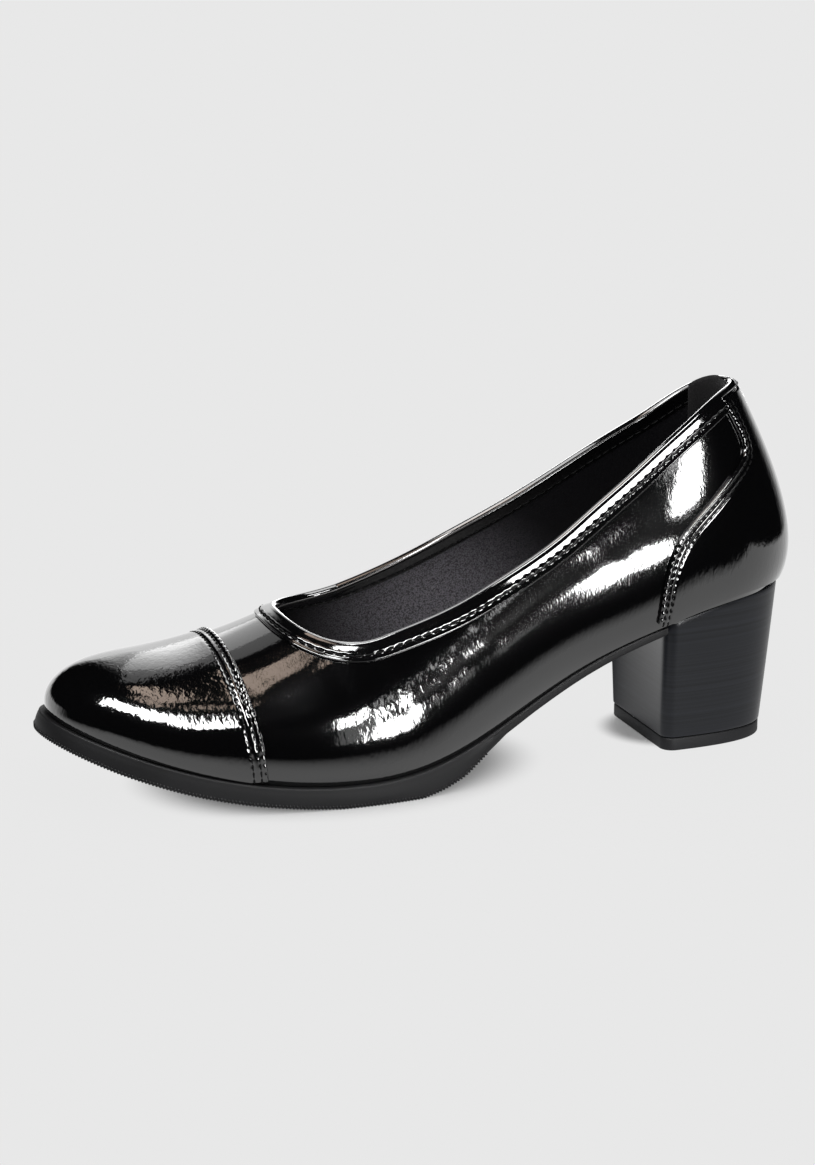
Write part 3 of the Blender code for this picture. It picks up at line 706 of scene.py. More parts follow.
def collar_course():
    """Runs and shares at an even step round the collar from the heel back, and the way along it."""
    halves = []
    for sign in (1, -1):
        run = np.append(collar_runs(900, 500), THROAT_RUN)
        run = run if sign > 0 else np.mod(LOOP - run, LOOP)
        share = collar_share(run)
        share[-1] = 1.0
        way = way_along(last(run, share))
        even = np.linspace(0, way[-1], int(way[-1] / BINDING_STEP))
        if sign < 0:
            run[0] = LOOP
        half = np.stack([np.interp(even, way, run), np.interp(even, way, share)])
        halves.append(half if sign > 0 else half[:, -2:0:-1])
    runs, shares = np.hstack(halves)
    return runs, shares, way_along(last(runs, shares))


def counter_crossing(sign):
    """Run where the counter's front edge meets the collar."""
    def ahead_of_counter(run):
        x, _, z = np.moveaxis(last(sign * run, collar_share(sign * run)), -1, 0)
        return x > counter_edge_x(z)
    return float(halve(ahead_of_counter, 15.0, 60.0))


def build_binding(leather, edge_leather):
    runs, shares, along = collar_course()
    edge = last(runs, shares)
    normal = outward(runs, shares)
    course = unit(np.roll(edge, -1, 0) - np.roll(edge, 1, 0))
    course = unit(course - np.sum(course * normal, -1, keepdims=True) * normal)
    down = np.cross(normal, course)
    start, stop = counter_crossing(1) - 1.0, LOOP - counter_crossing(-1) + 1.0
    full = (runs > start) & (runs < stop)
    width = np.where(full, 1.0, BINDING_BACK_WIDTH / BINDING_WIDTH)
    wave = np.cos(2 * np.pi * along / BINDING_PITCH)
    hole = 1 + 0.04 * wave
    flat = np.ones_like(along)

    def strip(way, rise):
        return raised(*walk(runs, shares, down, width * way), rise * flat)

    def outside(way):
        puff = puff_height(way + 0.24 * wave * np.clip((way - 1.8) / 1.2, 0, 1))
        lift = BINDING_RISE + binding_swell(edge[:, 0]) * puff + 0.06 * np.exp(-((way - 5.2) / 0.3) ** 2)
        return lift - BINDING_SINK * hole * np.exp(-((way - BINDING_SEAM) / 0.45) ** 2)

    def inside(way):
        sink = BINDING_INNER_SINK * hole * np.exp(-((way - BINDING_SEAM) / 0.5) ** 2)
        return -WALL - BINDING_INNER_RISE + sink

    def roll(middle, radii, turn):
        out, up = middle[0] + radii[0] * np.cos(turn), middle[1] + radii[1] * np.sin(turn)
        return edge + out * normal - up * down

    section = [strip(BINDING_WIDTH - way, rise) for way, rise in BINDING_EDGE]
    section += [strip(way, outside(way)) for way in np.arange(5.3, 0.4, -0.2)]
    section += [roll(ROLL_MIDDLE, ROLL_RADII, turn) for turn in np.linspace(0, np.pi, 13)]
    section += [strip(way, inside(way)) for way in np.arange(0.5, BINDING_INSIDE - 0.2, 0.36)]
    section += [strip(BINDING_INSIDE, -WALL - 0.25), strip(BINDING_INSIDE, -WALL + 0.05)]
    section += [strip(2.5, -WALL + 0.05), edge - SKIN * normal, strip(2.5, 0.02)]
    mesh = tube_mesh("topline_binding_strip", section, leather, BINDING_CRINKLE)
    add_piece(mesh, "topline_binding")
    turns = np.linspace(0, 2 * np.pi, 10, endpoint=False)[::-1]
    bead = [roll(BEAD_MIDDLE, BEAD_RADII, turn) for turn in turns]
    add_piece(tube_mesh("lining_edge", bead, edge_leather))
    sewn = (runs > start + 2.0) & (runs < stop - 2.0)
    run, share = walk(runs, shares, down, BINDING_SEAM * flat)
    seam, out = last(run, share)[sewn], outward(run, share)[sewn]
    rises = np.mean(outside(BINDING_SEAM) + 0.12), np.mean(inside(BINDING_SEAM) - 0.1)
    return [(seam + rise * out, side * out) for rise, side in zip(rises, (1, -1))]


def build_heel_grip(suede):
    """Soft pad inside the back of the heel, its top edge just over the collar."""
    run = np.linspace(-GRIP_RUN, GRIP_RUN, 90)
    tops = collar_share(run)
    _, up = tangents(run, tops)
    steep = np.linalg.norm(up, axis=-1)
    top = tops + grip_top(run) / steep
    low = tops - (GRIP_DROP - GRIP_CORNER * (run / GRIP_RUN) ** 4) / steep
    rows = np.linspace(0, 1, 44)
    shares = low[:, None] + (top - low)[:, None] * rows
    runs = np.broadcast_to(run[:, None], shares.shape)
    ends = np.clip((GRIP_RUN - np.abs(run)) / 3.0, 0, 1)[:, None]
    rim = np.sqrt(np.clip(1 - np.clip((rows - 0.965) / 0.035, 0, 1) ** 2, 0, 1))[None]
    depth = GRIP_EDGE + GRIP_THICK * np.sqrt(ends) * rim
    form, normal = last(runs, shares), outward(runs, shares)
    outer, inner = form - GRIP_BACK * normal, form - depth[..., None] * normal
    free = np.ones(len(run), bool)
    add_piece(wall_mesh("heel_grip", outer, inner, suede, False, free))


def feather_plan(run):
    """Plan point of the feather edge and its outward direction."""
    point = last(run, 0.0)[..., :2]
    course = last(run + 0.05, 0.0)[..., :2] - last(run - 0.05, 0.0)[..., :2]
    return point, unit(np.stack([-course[..., 1], course[..., 0]], -1))


def sole_point(run, outset, depth_share, depth_size, floor, tail=False):
    """Point of the sole's edge: outset past its outline, depth below its top."""
    point, out = feather_plan(run)
    rim = rib_sizes(run)[8]
    x, y = np.moveaxis(point + out * (rim[..., None] + outset), -1, 0)
    x = np.where(tail, SOLE_TAIL_X, x)
    tilt = np.arctan(feather_height(x + 0.5) - feather_height(x - 0.5))
    depth = depth_share * sole_thickness(x) + depth_size
    lean = np.clip((x - SOLE_TAIL_X) / SOLE_LEAN_RUN, 0, 1)
    height = np.maximum(feather_height(x) - GAP - depth * np.cos(tilt), floor)
    return np.stack([x + depth * np.sin(tilt) * lean, y, height], -1)


def slab_mesh(name, lateral, medial, finish):
    """Closed solid from rows of matching lateral and medial edge points, bottom row first."""
    ring = np.concatenate([lateral, np.asarray(medial)[:, ::-1]], 1)
    rows, total = ring.shape[:2]
    rings = np.arange(rows * total).reshape(rows, total)
    near, far = rings[:, :total // 2], rings[:, :total // 2 - 1:-1]
    faces = [tube_faces(rings, False).reshape(-1, 4), strip_faces(near[0], far[0])[:, ::-1],
             strip_faces(near[-1], far[-1])]
    mesh = make_mesh(name, ring.reshape(-1, 3), np.concatenate(faces).tolist(), finish, sharp=38)
    shell = bmesh.new()
    shell.from_mesh(mesh)
    bmesh.ops.recalc_face_normals(shell, faces=shell.faces)
    shell.to_mesh(mesh)
    shell.free()
    return mesh


def build_outsole(rubber):
    part = np.linspace(0, 1, 300)
    walls, edges = [], []
    for side in (1, -1):
        def edge_x(run):
            return sole_point(side * run, 0.0, 0, 0, 0)[..., 0]

        start = halve(lambda run: edge_x(run) > SOLE_TAIL_X, 20.0, 100.0)
        run = start + (HALF - start) * part
        recess = tread_recess(edge_x(run))
        walls.append([
            sole_point(side * run, outset, share, depth - cut * recess, floor + cut * recess, part == 0)
            for outset, share, cut, depth, floor in SOLE_EDGE])
        ball = halve(lambda run: edge_x(run) > EDGE_RIB_FROM_X, 40.0, 180.0)
        run = side * np.linspace(ball, HALF, 500)
        _, out = feather_plan(run)
        edges.append((sole_point(run, -0.12, 1.0, -0.6, 0.62), np.pad(out, ((0, 0), (0, 1)))))
    add_piece(slab_mesh("outsole_moulding", *walls, rubber), "outsole")
    return [both_sides(*halves) for halves in zip(*edges)]


def tread_rows():
    """Middle, tilt and width of each bar across the tread."""
    centre = np.arange(TREAD_FROM_X, TREAD_TO_X, TREAD_PITCH)
    runs = np.linspace(60, HALF - 0.5, 900)
    edge = {}
    for side in (1, -1):
        rim = sole_point(side * runs, -3.2, 1.0, 0.0, 0.0)
        edge[side] = (np.interp(centre, rim[:, 0], rim[:, 1]), np.interp(centre, rim[:, 0], rim[:, 2]))
    middle_y = (edge[1][0] + edge[-1][0]) / 2
    width = edge[1][0] - edge[-1][0]
    height = (edge[1][1] + edge[-1][1]) / 2 + 0.58
    slope = np.gradient(height, centre)
    out = unit(np.stack([slope, np.zeros_like(slope), -np.ones_like(slope)], -1))
    return np.stack([centre, middle_y, height], -1), out, width


def heel_outline(level, inset):
    """Lateral half of the heel's D from the back to the breast, level 0 at the foot and 1 at the seat."""
    front, back, half_width, squareness = np.array(HEEL_FOOT) * (1 - level) + np.array(HEEL_SEAT) * level
    front -= inset
    back += inset
    half_width -= inset
    depth = front - back
    corner_x = front - HEEL_CORNER
    end = np.arccos(((front - corner_x) / depth) ** (squareness / 2))
    turn = np.linspace(0, end, 70)
    x = front - depth * np.cos(turn) ** (2 / squareness)
    y = half_width * np.sin(turn) ** (2 / squareness)
    bend = np.linspace(np.pi / 2, 0, 13)[1:]
    corner_y = y[-1] - HEEL_CORNER
    x = np.concatenate([x, corner_x + HEEL_CORNER * np.cos(bend)])
    y = np.concatenate([y, corner_y + HEEL_CORNER * np.sin(bend)])
    return x, y


def build_heel(stacked, rubber):
    foot = HEEL_TIP_THICK + GAP
    flanks = [(level, 0.0) for level in np.linspace(0.03, 0.985, 40)]
    block, tip = [], []
    for level, inset in HEEL_LOW_EDGE + flanks + HEEL_TOP_EDGE:
        x, y = heel_outline(level, inset)
        block.append(np.stack([x, y, foot + (feather_height(x) - GAP - foot) * level], -1))
    for inset, height in HEEL_TIP_EDGE:
        x, y = heel_outline(0.0, HEEL_TIP_INSET + inset)
        tip.append(np.stack([x, y, np.full_like(x, height)], -1))
    mirror = (1, -1, 1)
    mesh = slab_mesh("heel_block", block, np.array(block) * mirror, stacked)
    add_piece(mesh, "heel")
    mesh = slab_mesh("heel_tip_block", tip, np.array(tip) * mirror, rubber)
    add_piece(mesh, "heel_tip")


def build_insole(leather):
    sides = []
    for side in (1, -1):
        point, out = feather_plan(side * HALF * np.linspace(0, 1, 160))
        rows = []
        for outset, height in INSOLE_EDGE:
            x, y = np.moveaxis(point + out * (outset - INSOLE_INSET), -1, 0)
            rows.append(np.stack([x, y, feather_height(x) + height], -1))
        sides.append(rows)
    add_piece(slab_mesh("insole_sock", *sides, leather), "insole")


def linear_colour(code):
    """An sRGB hex colour as linear light."""
    values = [int(code[i:i + 2], 16) / 255 for i in (1, 3, 5)]
    values = [v / 12.92 if v <= 0.04045 else ((v + 0.055) / 1.055) ** 2.4 for v in values]
    return (*values, 1.0)


def plug(tree, item, links):
    """Fills a node's inputs, by name or place, from a socket, from a node's first output or with a value."""
    for key, value in links.items():
        if isinstance(value, bpy.types.Node):
            value = value.outputs[0]
        if isinstance(value, bpy.types.NodeSocket):
            tree.links.new(value, item.inputs[key])
        else:
            item.inputs[key].default_value = value


def add_node(tree, kind, links=None, **settings):
    """One node with its settings and its inputs."""
    item = tree.nodes.new(kind)
    for name, value in settings.items():
        setattr(item, name, value)
    plug(tree, item, links or {})
    return item


def new_finish(name):
    """A material, its node tree and the coordinates of the piece that wears it."""
    finish = bpy.data.materials.new(name)
    finish.use_nodes = True
    tree = finish.node_tree
    return finish, tree, add_node(tree, "ShaderNodeTexCoord").outputs["Object"]


def dress(tree, sockets, relief, shade=None, gloss=None, sunk=False):
    """Fills the shader: its sockets, the relief and, where they vary, the colour and the roughness."""
    height, depth_mm = relief
    bump = add_node(tree, "ShaderNodeBump", {"Distance": depth_mm * MM, "Height": height}, invert=sunk)
    sockets = {**sockets, "Normal": bump}
    if shade:
        amount, first, second = shade
        mix = add_node(tree, "ShaderNodeMix", {0: amount, 6: first, 7: second}, data_type="RGBA")
        sockets["Base Color"] = mix.outputs[2]
    if gloss:
        amount, low, high = gloss
        sockets["Roughness"] = add_node(tree, "ShaderNodeMapRange", {0: amount, 3: low, 4: high})
    plug(tree, tree.nodes["Principled BSDF"], sockets)
    return bump


def patent_leather(name, code, depth_mm=0.045):
    """Patent leather: dyed hide under a clear polyurethane film, so near-black with sharp reflections.

    The film crinkles with the hide, which frays the edges of every reflection.
    """
    finish, tree, where = new_finish(name)
    # Crinkles 1.4 and 3 mm apart, drawn longer up the shoe than round it
    drawn = add_node(tree, "ShaderNodeMapping", {"Vector": where, "Scale": (1.0, 1.0, 0.5)})
    fine = add_node(tree, "ShaderNodeTexNoise", {
        "Vector": drawn, "Scale": 2000 / 1.4, "Detail": 2.0, "Roughness": 0.5, "Distortion": 0.5})
    coarse = add_node(tree, "ShaderNodeTexNoise", {
        "Vector": drawn, "Scale": 2000 / 3.0, "Detail": 1.0, "Roughness": 0.4, "Distortion": 0.6})
    bend = add_node(tree, "ShaderNodeAttribute", attribute_name="crinkle").outputs["Fac"]
    swell = add_node(tree, "ShaderNodeMath", {0: coarse, 1: bend}, operation="MULTIPLY")
    rise = add_node(tree, "ShaderNodeMath", {0: fine, 1: 0.3, 2: swell}, operation="MULTIPLY_ADD")
    film = {"Coat Weight": 1.0, "Coat Roughness": 0.03, "Coat IOR": 1.58}
    hide = {"Base Color": linear_colour(code), "Roughness": 0.09, "IOR": 1.5}
    bump = dress(tree, {**hide, **film}, (rise, depth_mm))
    plug(tree, tree.nodes["Principled BSDF"], {"Coat Normal": bump})
    return finish


def grained_leather(name, code, roughness, grain_mm=0.9, depth_mm=0.14, light="#2E2B2D", deep=None):
    """Corrected-grain leather: hide embossed with small pebbles, matt, with painted glints on the pebble tops
    and painted shade in the hollows between them.

    With a deep colour it is that dark away from a painted pool of light, where it is painted paler as if lit.
    """
    finish, tree, where = new_finish(name)
    pebble = add_node(tree, "ShaderNodeTexVoronoi", {
        "Vector": where, "Scale": 1000 / grain_mm, "Randomness": 1.0}, feature="SMOOTH_F1")
    pore = add_node(tree, "ShaderNodeTexNoise", {"Vector": where, "Scale": 500 / grain_mm, "Detail": 3.0})
    rise = add_node(tree, "ShaderNodeMath", {0: pebble, 1: pore}, operation="ADD")
    # Painted glints and shade: pebble tops take the paler colour, the hollows between them the darker one
    painted_crown_glint = add_node(tree, "ShaderNodeMapRange", {0: pebble, 1: 0.15, 2: 0.65, 3: 1.0, 4: 0.0})
    shade = painted_crown_glint, linear_colour(code), linear_colour(light)
    if deep:
        paler = add_node(tree, "ShaderNodeMix", {0: shade[0], 6: shade[1], 7: shade[2]}, data_type="RGBA")
        # Painted pool of light: round this spot the leather is painted paler, as if lit, and away from it
        # takes its deep colour
        (x, z), (long, high) = LIT_POOL_MIDDLE, LIT_POOL_REACH
        ball = add_node(tree, "ShaderNodeMapping", {
            "Vector": where, "Location": (-x / long, 0, -z / high),
            "Scale": (1 / long / MM, 0, 1 / high / MM)})
        off_lit_pool = add_node(tree, "ShaderNodeVectorMath", {0: ball}, operation="LENGTH").outputs["Value"]
        fade = add_node(tree, "ShaderNodeMapRange", {0: off_lit_pool, 1: 0.1, 2: 1.5},
                        interpolation_type="SMOOTHSTEP")
        shade = fade, paler.outputs[2], linear_colour(deep)
    dress(tree, {"IOR": 1.5}, (rise, depth_mm), shade, (pebble, roughness - 0.08, roughness + 0.1), sunk=True)
    return finish


def suede_leather(name, code):
    """Suede split: a short brushed nap, so no gloss and a soft light rim."""
    finish, tree, where = new_finish(name)
    nap = add_node(tree, "ShaderNodeTexNoise", {
        "Vector": where, "Scale": 1000 / 0.45, "Detail": 3.0, "Roughness": 0.7})
    brushed = add_node(tree, "ShaderNodeTexNoise", {"Vector": where, "Scale": 1000 / 7.0, "Detail": 2.0})
    sockets = {"Roughness": 0.95, "Specular IOR Level": 0.15, "Sheen Weight": 0.12, "Sheen Roughness": 0.5}
    dress(tree, sockets, (nap, 0.16), (brushed, linear_colour(code), linear_colour("#1D1B1C")))
    return finish


def sewing_thread(name, code):
    """Bonded polyester thread: two plies laid at a slant, with a waxy glint."""
    finish, tree, where = new_finish(name)
    plies = add_node(tree, "ShaderNodeTexNoise", {"Vector": where, "Scale": 1000 / 0.3, "Detail": 1.0})
    sockets = {"Base Color": linear_colour(code), "IOR": 1.55, "Specular IOR Level": 0.1}
    dress(tree, sockets, (plies, 0.06), gloss=(plies, 0.65, 0.8))
    return finish


def moulded_rubber(name, code, roughness):
    """Moulded rubber: dark and matt, with the fine grit of the mould and rubbed, slightly paler patches."""
    finish, tree, where = new_finish(name)
    grit = add_node(tree, "ShaderNodeTexNoise", {"Vector": where, "Scale": 1000 / 0.5, "Detail": 3.0})
    cloud = add_node(tree, "ShaderNodeTexNoise", {"Vector": where, "Scale": 1000 / 18.0, "Detail": 3.0})
    shade = cloud, linear_colour(code), linear_colour("#17171A")
    gloss = cloud, roughness - 0.08, roughness + 0.08
    dress(tree, {"IOR": 1.52, "Specular IOR Level": 0.22}, (grit, 0.03), shade, gloss)
    return finish


def stacked_leather(name, code, lift_mm=3.1):
    """Stacked leather lifts, dyed black: fine level lines where the lifts meet, a satin waxed breast."""
    finish, tree, where = new_finish(name)
    drift = add_node(tree, "ShaderNodeTexNoise", {"Vector": where, "Scale": 1000 / 26.0, "Detail": 2.0})
    axes = add_node(tree, "ShaderNodeSeparateXYZ", {0: where}).outputs
    wander = add_node(tree, "ShaderNodeMath", {0: drift, 1: 0.6 * MM, 2: axes["Z"]}, operation="MULTIPLY_ADD")
    stack = add_node(tree, "ShaderNodeCombineXYZ", {2: wander})
    lifts = add_node(tree, "ShaderNodeTexNoise", {
        "Vector": stack, "Scale": 2000 / lift_mm, "Detail": 4.0, "Roughness": 0.7})
    smear = add_node(tree, "ShaderNodeMapping", {"Vector": where, "Scale": (0.12, 0.12, 1.0)})
    fibre = add_node(tree, "ShaderNodeTexNoise", {"Vector": smear, "Scale": 1000 / 0.8, "Detail": 3.0})
    both = add_node(tree, "ShaderNodeMath", {0: fibre, 1: 0.3, 2: lifts}, operation="MULTIPLY_ADD")
    line = add_node(tree, "ShaderNodeMapRange", {0: lifts, 1: 0.3, 2: 0.7})
    aside = add_node(tree, "ShaderNodeMath", {0: axes["Z"], 1: -HEEL_SPREAD, 2: axes["Y"]},
                     operation="MULTIPLY_ADD")
    # Wax across the breast, up it, off its corner and on its face. Columns: from, to, first and final amount
    wax = 1.0
    for value, near, far, first, final in (
            (aside, -18, 15, 0.0, 1.0), (axes["Z"], 8, 42, 0.2, 1.0),
            (aside, 16.5, 18.5, 1.0, 0.0), (axes["X"], 8, 15, 0.0, 1.0)):
        ramp = add_node(tree, "ShaderNodeMapRange", {0: value, 1: near * MM, 2: far * MM, 3: first, 4: final})
        wax = add_node(tree, "ShaderNodeMath", {0: wax, 1: ramp}, operation="MULTIPLY")
    sheen = add_node(tree, "ShaderNodeMapRange", {0: aside, 1: -22 * MM, 2: 20 * MM, 3: 0.0, 4: 0.25})
    gloss = {"Specular IOR Level": sheen, "Coat Weight": wax, "Coat Roughness": 0.2, "Coat IOR": 1.5}
    shade = line, linear_colour(code), linear_colour("#25272D")
    dress(tree, {"IOR": 1.5, **gloss}, (both, 0.022), shade, (fibre, 0.26, 0.36))
    return finish


def new_tree(name, sizes):
    """Geometry tree with named inputs for its sizes and one for its finish."""
    tree = bpy.data.node_groups.new(name, "GeometryNodeTree")
    kinds = {"Geometry": "Geometry", **{label: "Float" for label in sizes}, "Finish": "Material"}
    for label, kind in kinds.items():
        tree.interface.new_socket(label, in_out="INPUT", socket_type="NodeSocket" + kind)
    tree.interface.new_socket("Geometry", in_out="OUTPUT", socket_type="NodeSocketGeometry")
    return tree, add_node(tree, "NodeGroupInput").outputs


def close_tree(tree, given, points, shape, turn, scale=(1, 1, 1)):
    """Sets the shape on every point, realizes it and gives it the finish."""
    copies = add_node(tree, "GeometryNodeInstanceOnPoints", {
        "Points": points, "Instance": shape, "Rotation": turn, "Scale": scale})
    solid = add_node(tree, "GeometryNodeRealizeInstances", {0: copies})
    smooth = add_node(tree, "GeometryNodeSetShadeSmooth", {0: solid})
    dressed = add_node(tree, "GeometryNodeSetMaterial", {0: smooth, "Material": given["Finish"]})
    add_node(tree, "NodeGroupOutput", {0: dressed})
    return tree


def path_points(tree, given):
    """Points a pitch apart on the path, and their rotation with X along it and Z out of the surface."""
    curve = add_node(tree, "GeometryNodeMeshToCurve", {0: given["Geometry"]})
    points = add_node(tree, "GeometryNodeCurveToPoints", {"Curve": curve, "Length": given["Pitch"]},
                      mode="LENGTH").outputs
    out = add_node(tree, "GeometryNodeInputNamedAttribute", {"Name": "face_out"}, data_type="FLOAT_VECTOR")
    along = add_node(tree, "FunctionNodeAlignRotationToVector", {"Vector": points["Tangent"]}, axis="X")
    turn = add_node(tree, "FunctionNodeAlignRotationToVector", {
        "Rotation": along, "Vector": out}, axis="Z", pivot_axis="X")
    return points["Points"], turn


def stitch_tree():
    """Arched stitches laid end to end along a path, each dipping into its needle holes."""
    tree, given = new_tree("stitch_row", ("Pitch", "Stitch Length", "Thread Radius"))
    points, turn = path_points(tree, given)
    shares = (("Stitch Length", -0.5), ("Stitch Length", 0.5), ("Thread Radius", -1.1), ("Thread Radius", 1.5))
    behind, ahead, dip, arch = (
        add_node(tree, "ShaderNodeMath", {0: given[size], 1: share}, operation="MULTIPLY")
        for size, share in shares)
    ends = [add_node(tree, "ShaderNodeCombineXYZ", {0: x, 2: dip}) for x in (behind, ahead)]
    top = add_node(tree, "ShaderNodeCombineXYZ", {2: arch})
    spine = add_node(tree, "GeometryNodeCurveQuadraticBezier", {
        "Resolution": 5, "Start": ends[0], "Middle": top, "End": ends[1]})
    ring = add_node(tree, "GeometryNodeCurvePrimitiveCircle", {
        "Resolution": 7, "Radius": given["Thread Radius"]})
    thread = add_node(tree, "GeometryNodeCurveToMesh", {
        "Curve": spine, "Profile Curve": ring, "Fill Caps": True})
    return close_tree(tree, given, points, thread, turn)


def edge_rib_tree():
    """Short upright ribs round the lower edge of the sole."""
    tree, given = new_tree("sole_edge_ribs", ("Pitch", "Rib Radius", "Rib Length"))
    points, turn = path_points(tree, given)
    rib = add_node(tree, "GeometryNodeMeshCylinder", {
        "Vertices": 8, "Radius": given["Rib Radius"], "Depth": given["Rib Length"]})
    upright = add_node(tree, "GeometryNodeTransform", {"Geometry": rib, "Rotation": (np.pi / 2, 0, 0)})
    return close_tree(tree, given, points, upright, turn)


def tread_tree():
    """Low bars across the tread, each as wide as the sole is there."""
    tree, given = new_tree("tread_bars", ("Bar Radius",))
    points = add_node(tree, "GeometryNodeMeshToPoints", {0: given["Geometry"]})
    bar = add_node(tree, "GeometryNodeMeshCylinder", {
        "Vertices": 8, "Radius": given["Bar Radius"], "Depth": 1.0})
    level = add_node(tree, "GeometryNodeTransform", {
        "Geometry": bar, "Rotation": (np.pi / 2, 0, 0), "Scale": (1.0, 0.55, 1.0)})
    width = add_node(tree, "GeometryNodeInputNamedAttribute", {"Name": "bar_width"}, data_type="FLOAT")
    size = add_node(tree, "ShaderNodeCombineXYZ", {0: 1.0, 1: width, 2: 1.0})
    out = add_node(tree, "GeometryNodeInputNamedAttribute", {"Name": "face_out"}, data_type="FLOAT_VECTOR")
    turn = add_node(tree, "FunctionNodeAlignRotationToVector", {"Vector": out}, axis="Z", pivot_axis="Y")
    return close_tree(tree, given, points, level, turn, size)


def grow(name, tree, paths, sizes, finish, widths=None):
    """One plain mesh of what a tree makes on paths, each a list of points and outward directions."""
    points, out, edges = [], [], []
    for path, directions in paths:
        base = sum(len(p) for p in points)
        points.append(place(path))
        out.append(directions)
        edges += [(base + i, base + i + 1) for i in range(len(path) - 1)]
    mesh = bpy.data.meshes.new(name + "_path")
    mesh.from_pydata(np.vstack(points).tolist(), [] if widths is not None else edges, [])
    layer = mesh.attributes.new("face_out", "FLOAT_VECTOR", "POINT")
    layer.data.foreach_set("vector", np.vstack(out).astype(np.float32).ravel())
    if widths is not None:
        layer = mesh.attributes.new("bar_width", "FLOAT", "POINT")
        layer.data.foreach_set("value", (np.asarray(widths) * MM).astype(np.float32))
    path = bpy.data.objects.new(name + "_path", mesh)
    bpy.context.scene.collection.objects.link(path)
    modifier = path.modifiers.new(name, "NODES")
    modifier.node_group = tree
    sizes = {**{label: value * MM for label, value in sizes.items()}, "Finish": finish}
    for item in tree.interface.items_tree:
        if item.item_type == "SOCKET" and item.in_out == "INPUT" and item.name in sizes:
            modifier[item.identifier] = sizes[item.name]
    graph = bpy.context.evaluated_depsgraph_get()
    grown = bpy.data.meshes.new_from_object(path.evaluated_get(graph), depsgraph=graph)
    grown.name = name
    bpy.data.objects.remove(path)
    return add_piece(grown)


def build_shoe():
    vamp_leather = patent_leather("crinkled_patent_leather", "#060607")
    cap_leather = patent_leather("crinkled_patent_leather_toe_cap", "#060607")
    counter_leather = patent_leather("crinkled_patent_leather_counter", "#060607")
    strip_leather = patent_leather("smooth_patent_leather_binding", "#070708", depth_mm=0.02)
    # The lining's own colour is the near-black deep one; its paler colours are painted light, pooled toward
    # the ball
    lining = grained_leather("grained_lining_leather", "#535155", 0.4, 0.45, light="#A4A0A8", deep="#131216")
    # The cut edge is painted pale: partly its own raw-edge tone, partly a painted highlight line along the
    # collar's rim
    edge_leather = grained_leather("cut_lining_edge_painted_highlight", "#6A6766", 0.5, 0.5, 0.03, "#8A8685", "#3E3C3C")
    sock = grained_leather("grained_insole_leather", "#151315", 0.5, grain_mm=1.1)
    suede = suede_leather("suede_split_heel_grip", "#1B1A1C")
    thread = sewing_thread("bonded_polyester_thread", "#0B0B0C")
    sole_rubber = moulded_rubber("moulded_sole_rubber", "#0D0D0F", 0.55)
    tip_rubber = moulded_rubber("moulded_heel_tip_rubber", "#1B1C20", 0.55)
    stacked = stacked_leather("waxed_stacked_leather", "#0E1013")

    build_upper(vamp_leather, lining)
    cap_rows = build_toe_cap(cap_leather)
    counter_rows = build_counter(counter_leather)
    binding_rows = build_binding(strip_leather, edge_leather)
    build_heel_grip(suede)
    ribs = build_outsole(sole_rubber)
    build_heel(stacked, tip_rubber)
    build_insole(sock)

    stitches = stitch_tree()
    for name, rows, pitch, slot in (
            ("toe_cap_stitches", cap_rows, CAP_PITCH, "toe_cap_patent_leather"),
            ("counter_stitches", counter_rows, COUNTER_PITCH, "counter_patent_leather"),
            ("binding_stitches", binding_rows, BINDING_PITCH, "binding_patent_leather")):
        sizes = {"Pitch": pitch, "Stitch Length": pitch * STITCH_SHARE, "Thread Radius": THREAD}
        grow(name, stitches, rows, sizes, thread)
    sizes = {"Pitch": EDGE_RIB_PITCH, "Rib Radius": EDGE_RIB_RADIUS, "Rib Length": EDGE_RIB_LENGTH}
    grow("sole_edge_ribs", edge_rib_tree(), [ribs], sizes, sole_rubber)
    middle, out, width = tread_rows()
    sizes = {"Bar Radius": TREAD_BAR_RADIUS}
    grow("tread_bars", tread_tree(), [(middle, out)], sizes, sole_rubber, width)


# Camera of the view: turn from the lateral side toward the toe, rise, distance, aim, lens and film width
VIEW_TURN = 19.8
VIEW_RISE = 15.42
VIEW_DISTANCE = 900.0
VIEW_AIM = (128.4, 0.0, 58.0)
VIEW_LENS = 89.22
VIEW_FILM = 36.0

# Light panels, seen only in reflections. The side ones stand upright beside the shoe, the others hang level.
# Columns: centre, width, height, roll, light, tint
WHITE = "#FFFFFF"
WARM = "#F3DCCB"
SIDE_PANELS = {
    "ball_panel":        ((68, 590, 215), 48, 94, 0, 26.0, WHITE),
    "ball_mid":          ((-20, 590, 114), 50, 228, 0, 26.0, WHITE),
    "ball_top":          ((-500, 2000, 915), 74, 195, 0, 4.0, WHITE),
    "low_panel":         ((-85, 590, 50), 86, 130, 0, 26.0, WHITE),
    "collar_panel":      ((-190, 590, 271), 104, 132, 0, 26.0, WHITE),
    "dim_panel":         ((50, 596, 90), 70, 160, 0, 0.8, WHITE),
    "quarter_panel":     ((-598, 2000, 95), 112, 300, 14, 26.0, WHITE),
    "tail_panel":        ((-900, 2000, 185), 110, 190, 0, 0.8, WHITE),
    "waist_panel":       ((-715, 2000, 570), 260, 190, 0, 0.3, WHITE),
    "medial_panel":      ((-120, -580, 150), 180, 330, 0, 4.0, WHITE),
    "medial_low":        ((-260, -580, 60), 120, 150, 0, 4.0, WHITE),
    "vamp_wall":         ((190, -75, 110), 26, 84, -15, 1.2, WHITE),
    "vamp_back":         ((208, -75, 202), 26, 100, -11, 0.55, WHITE),
}
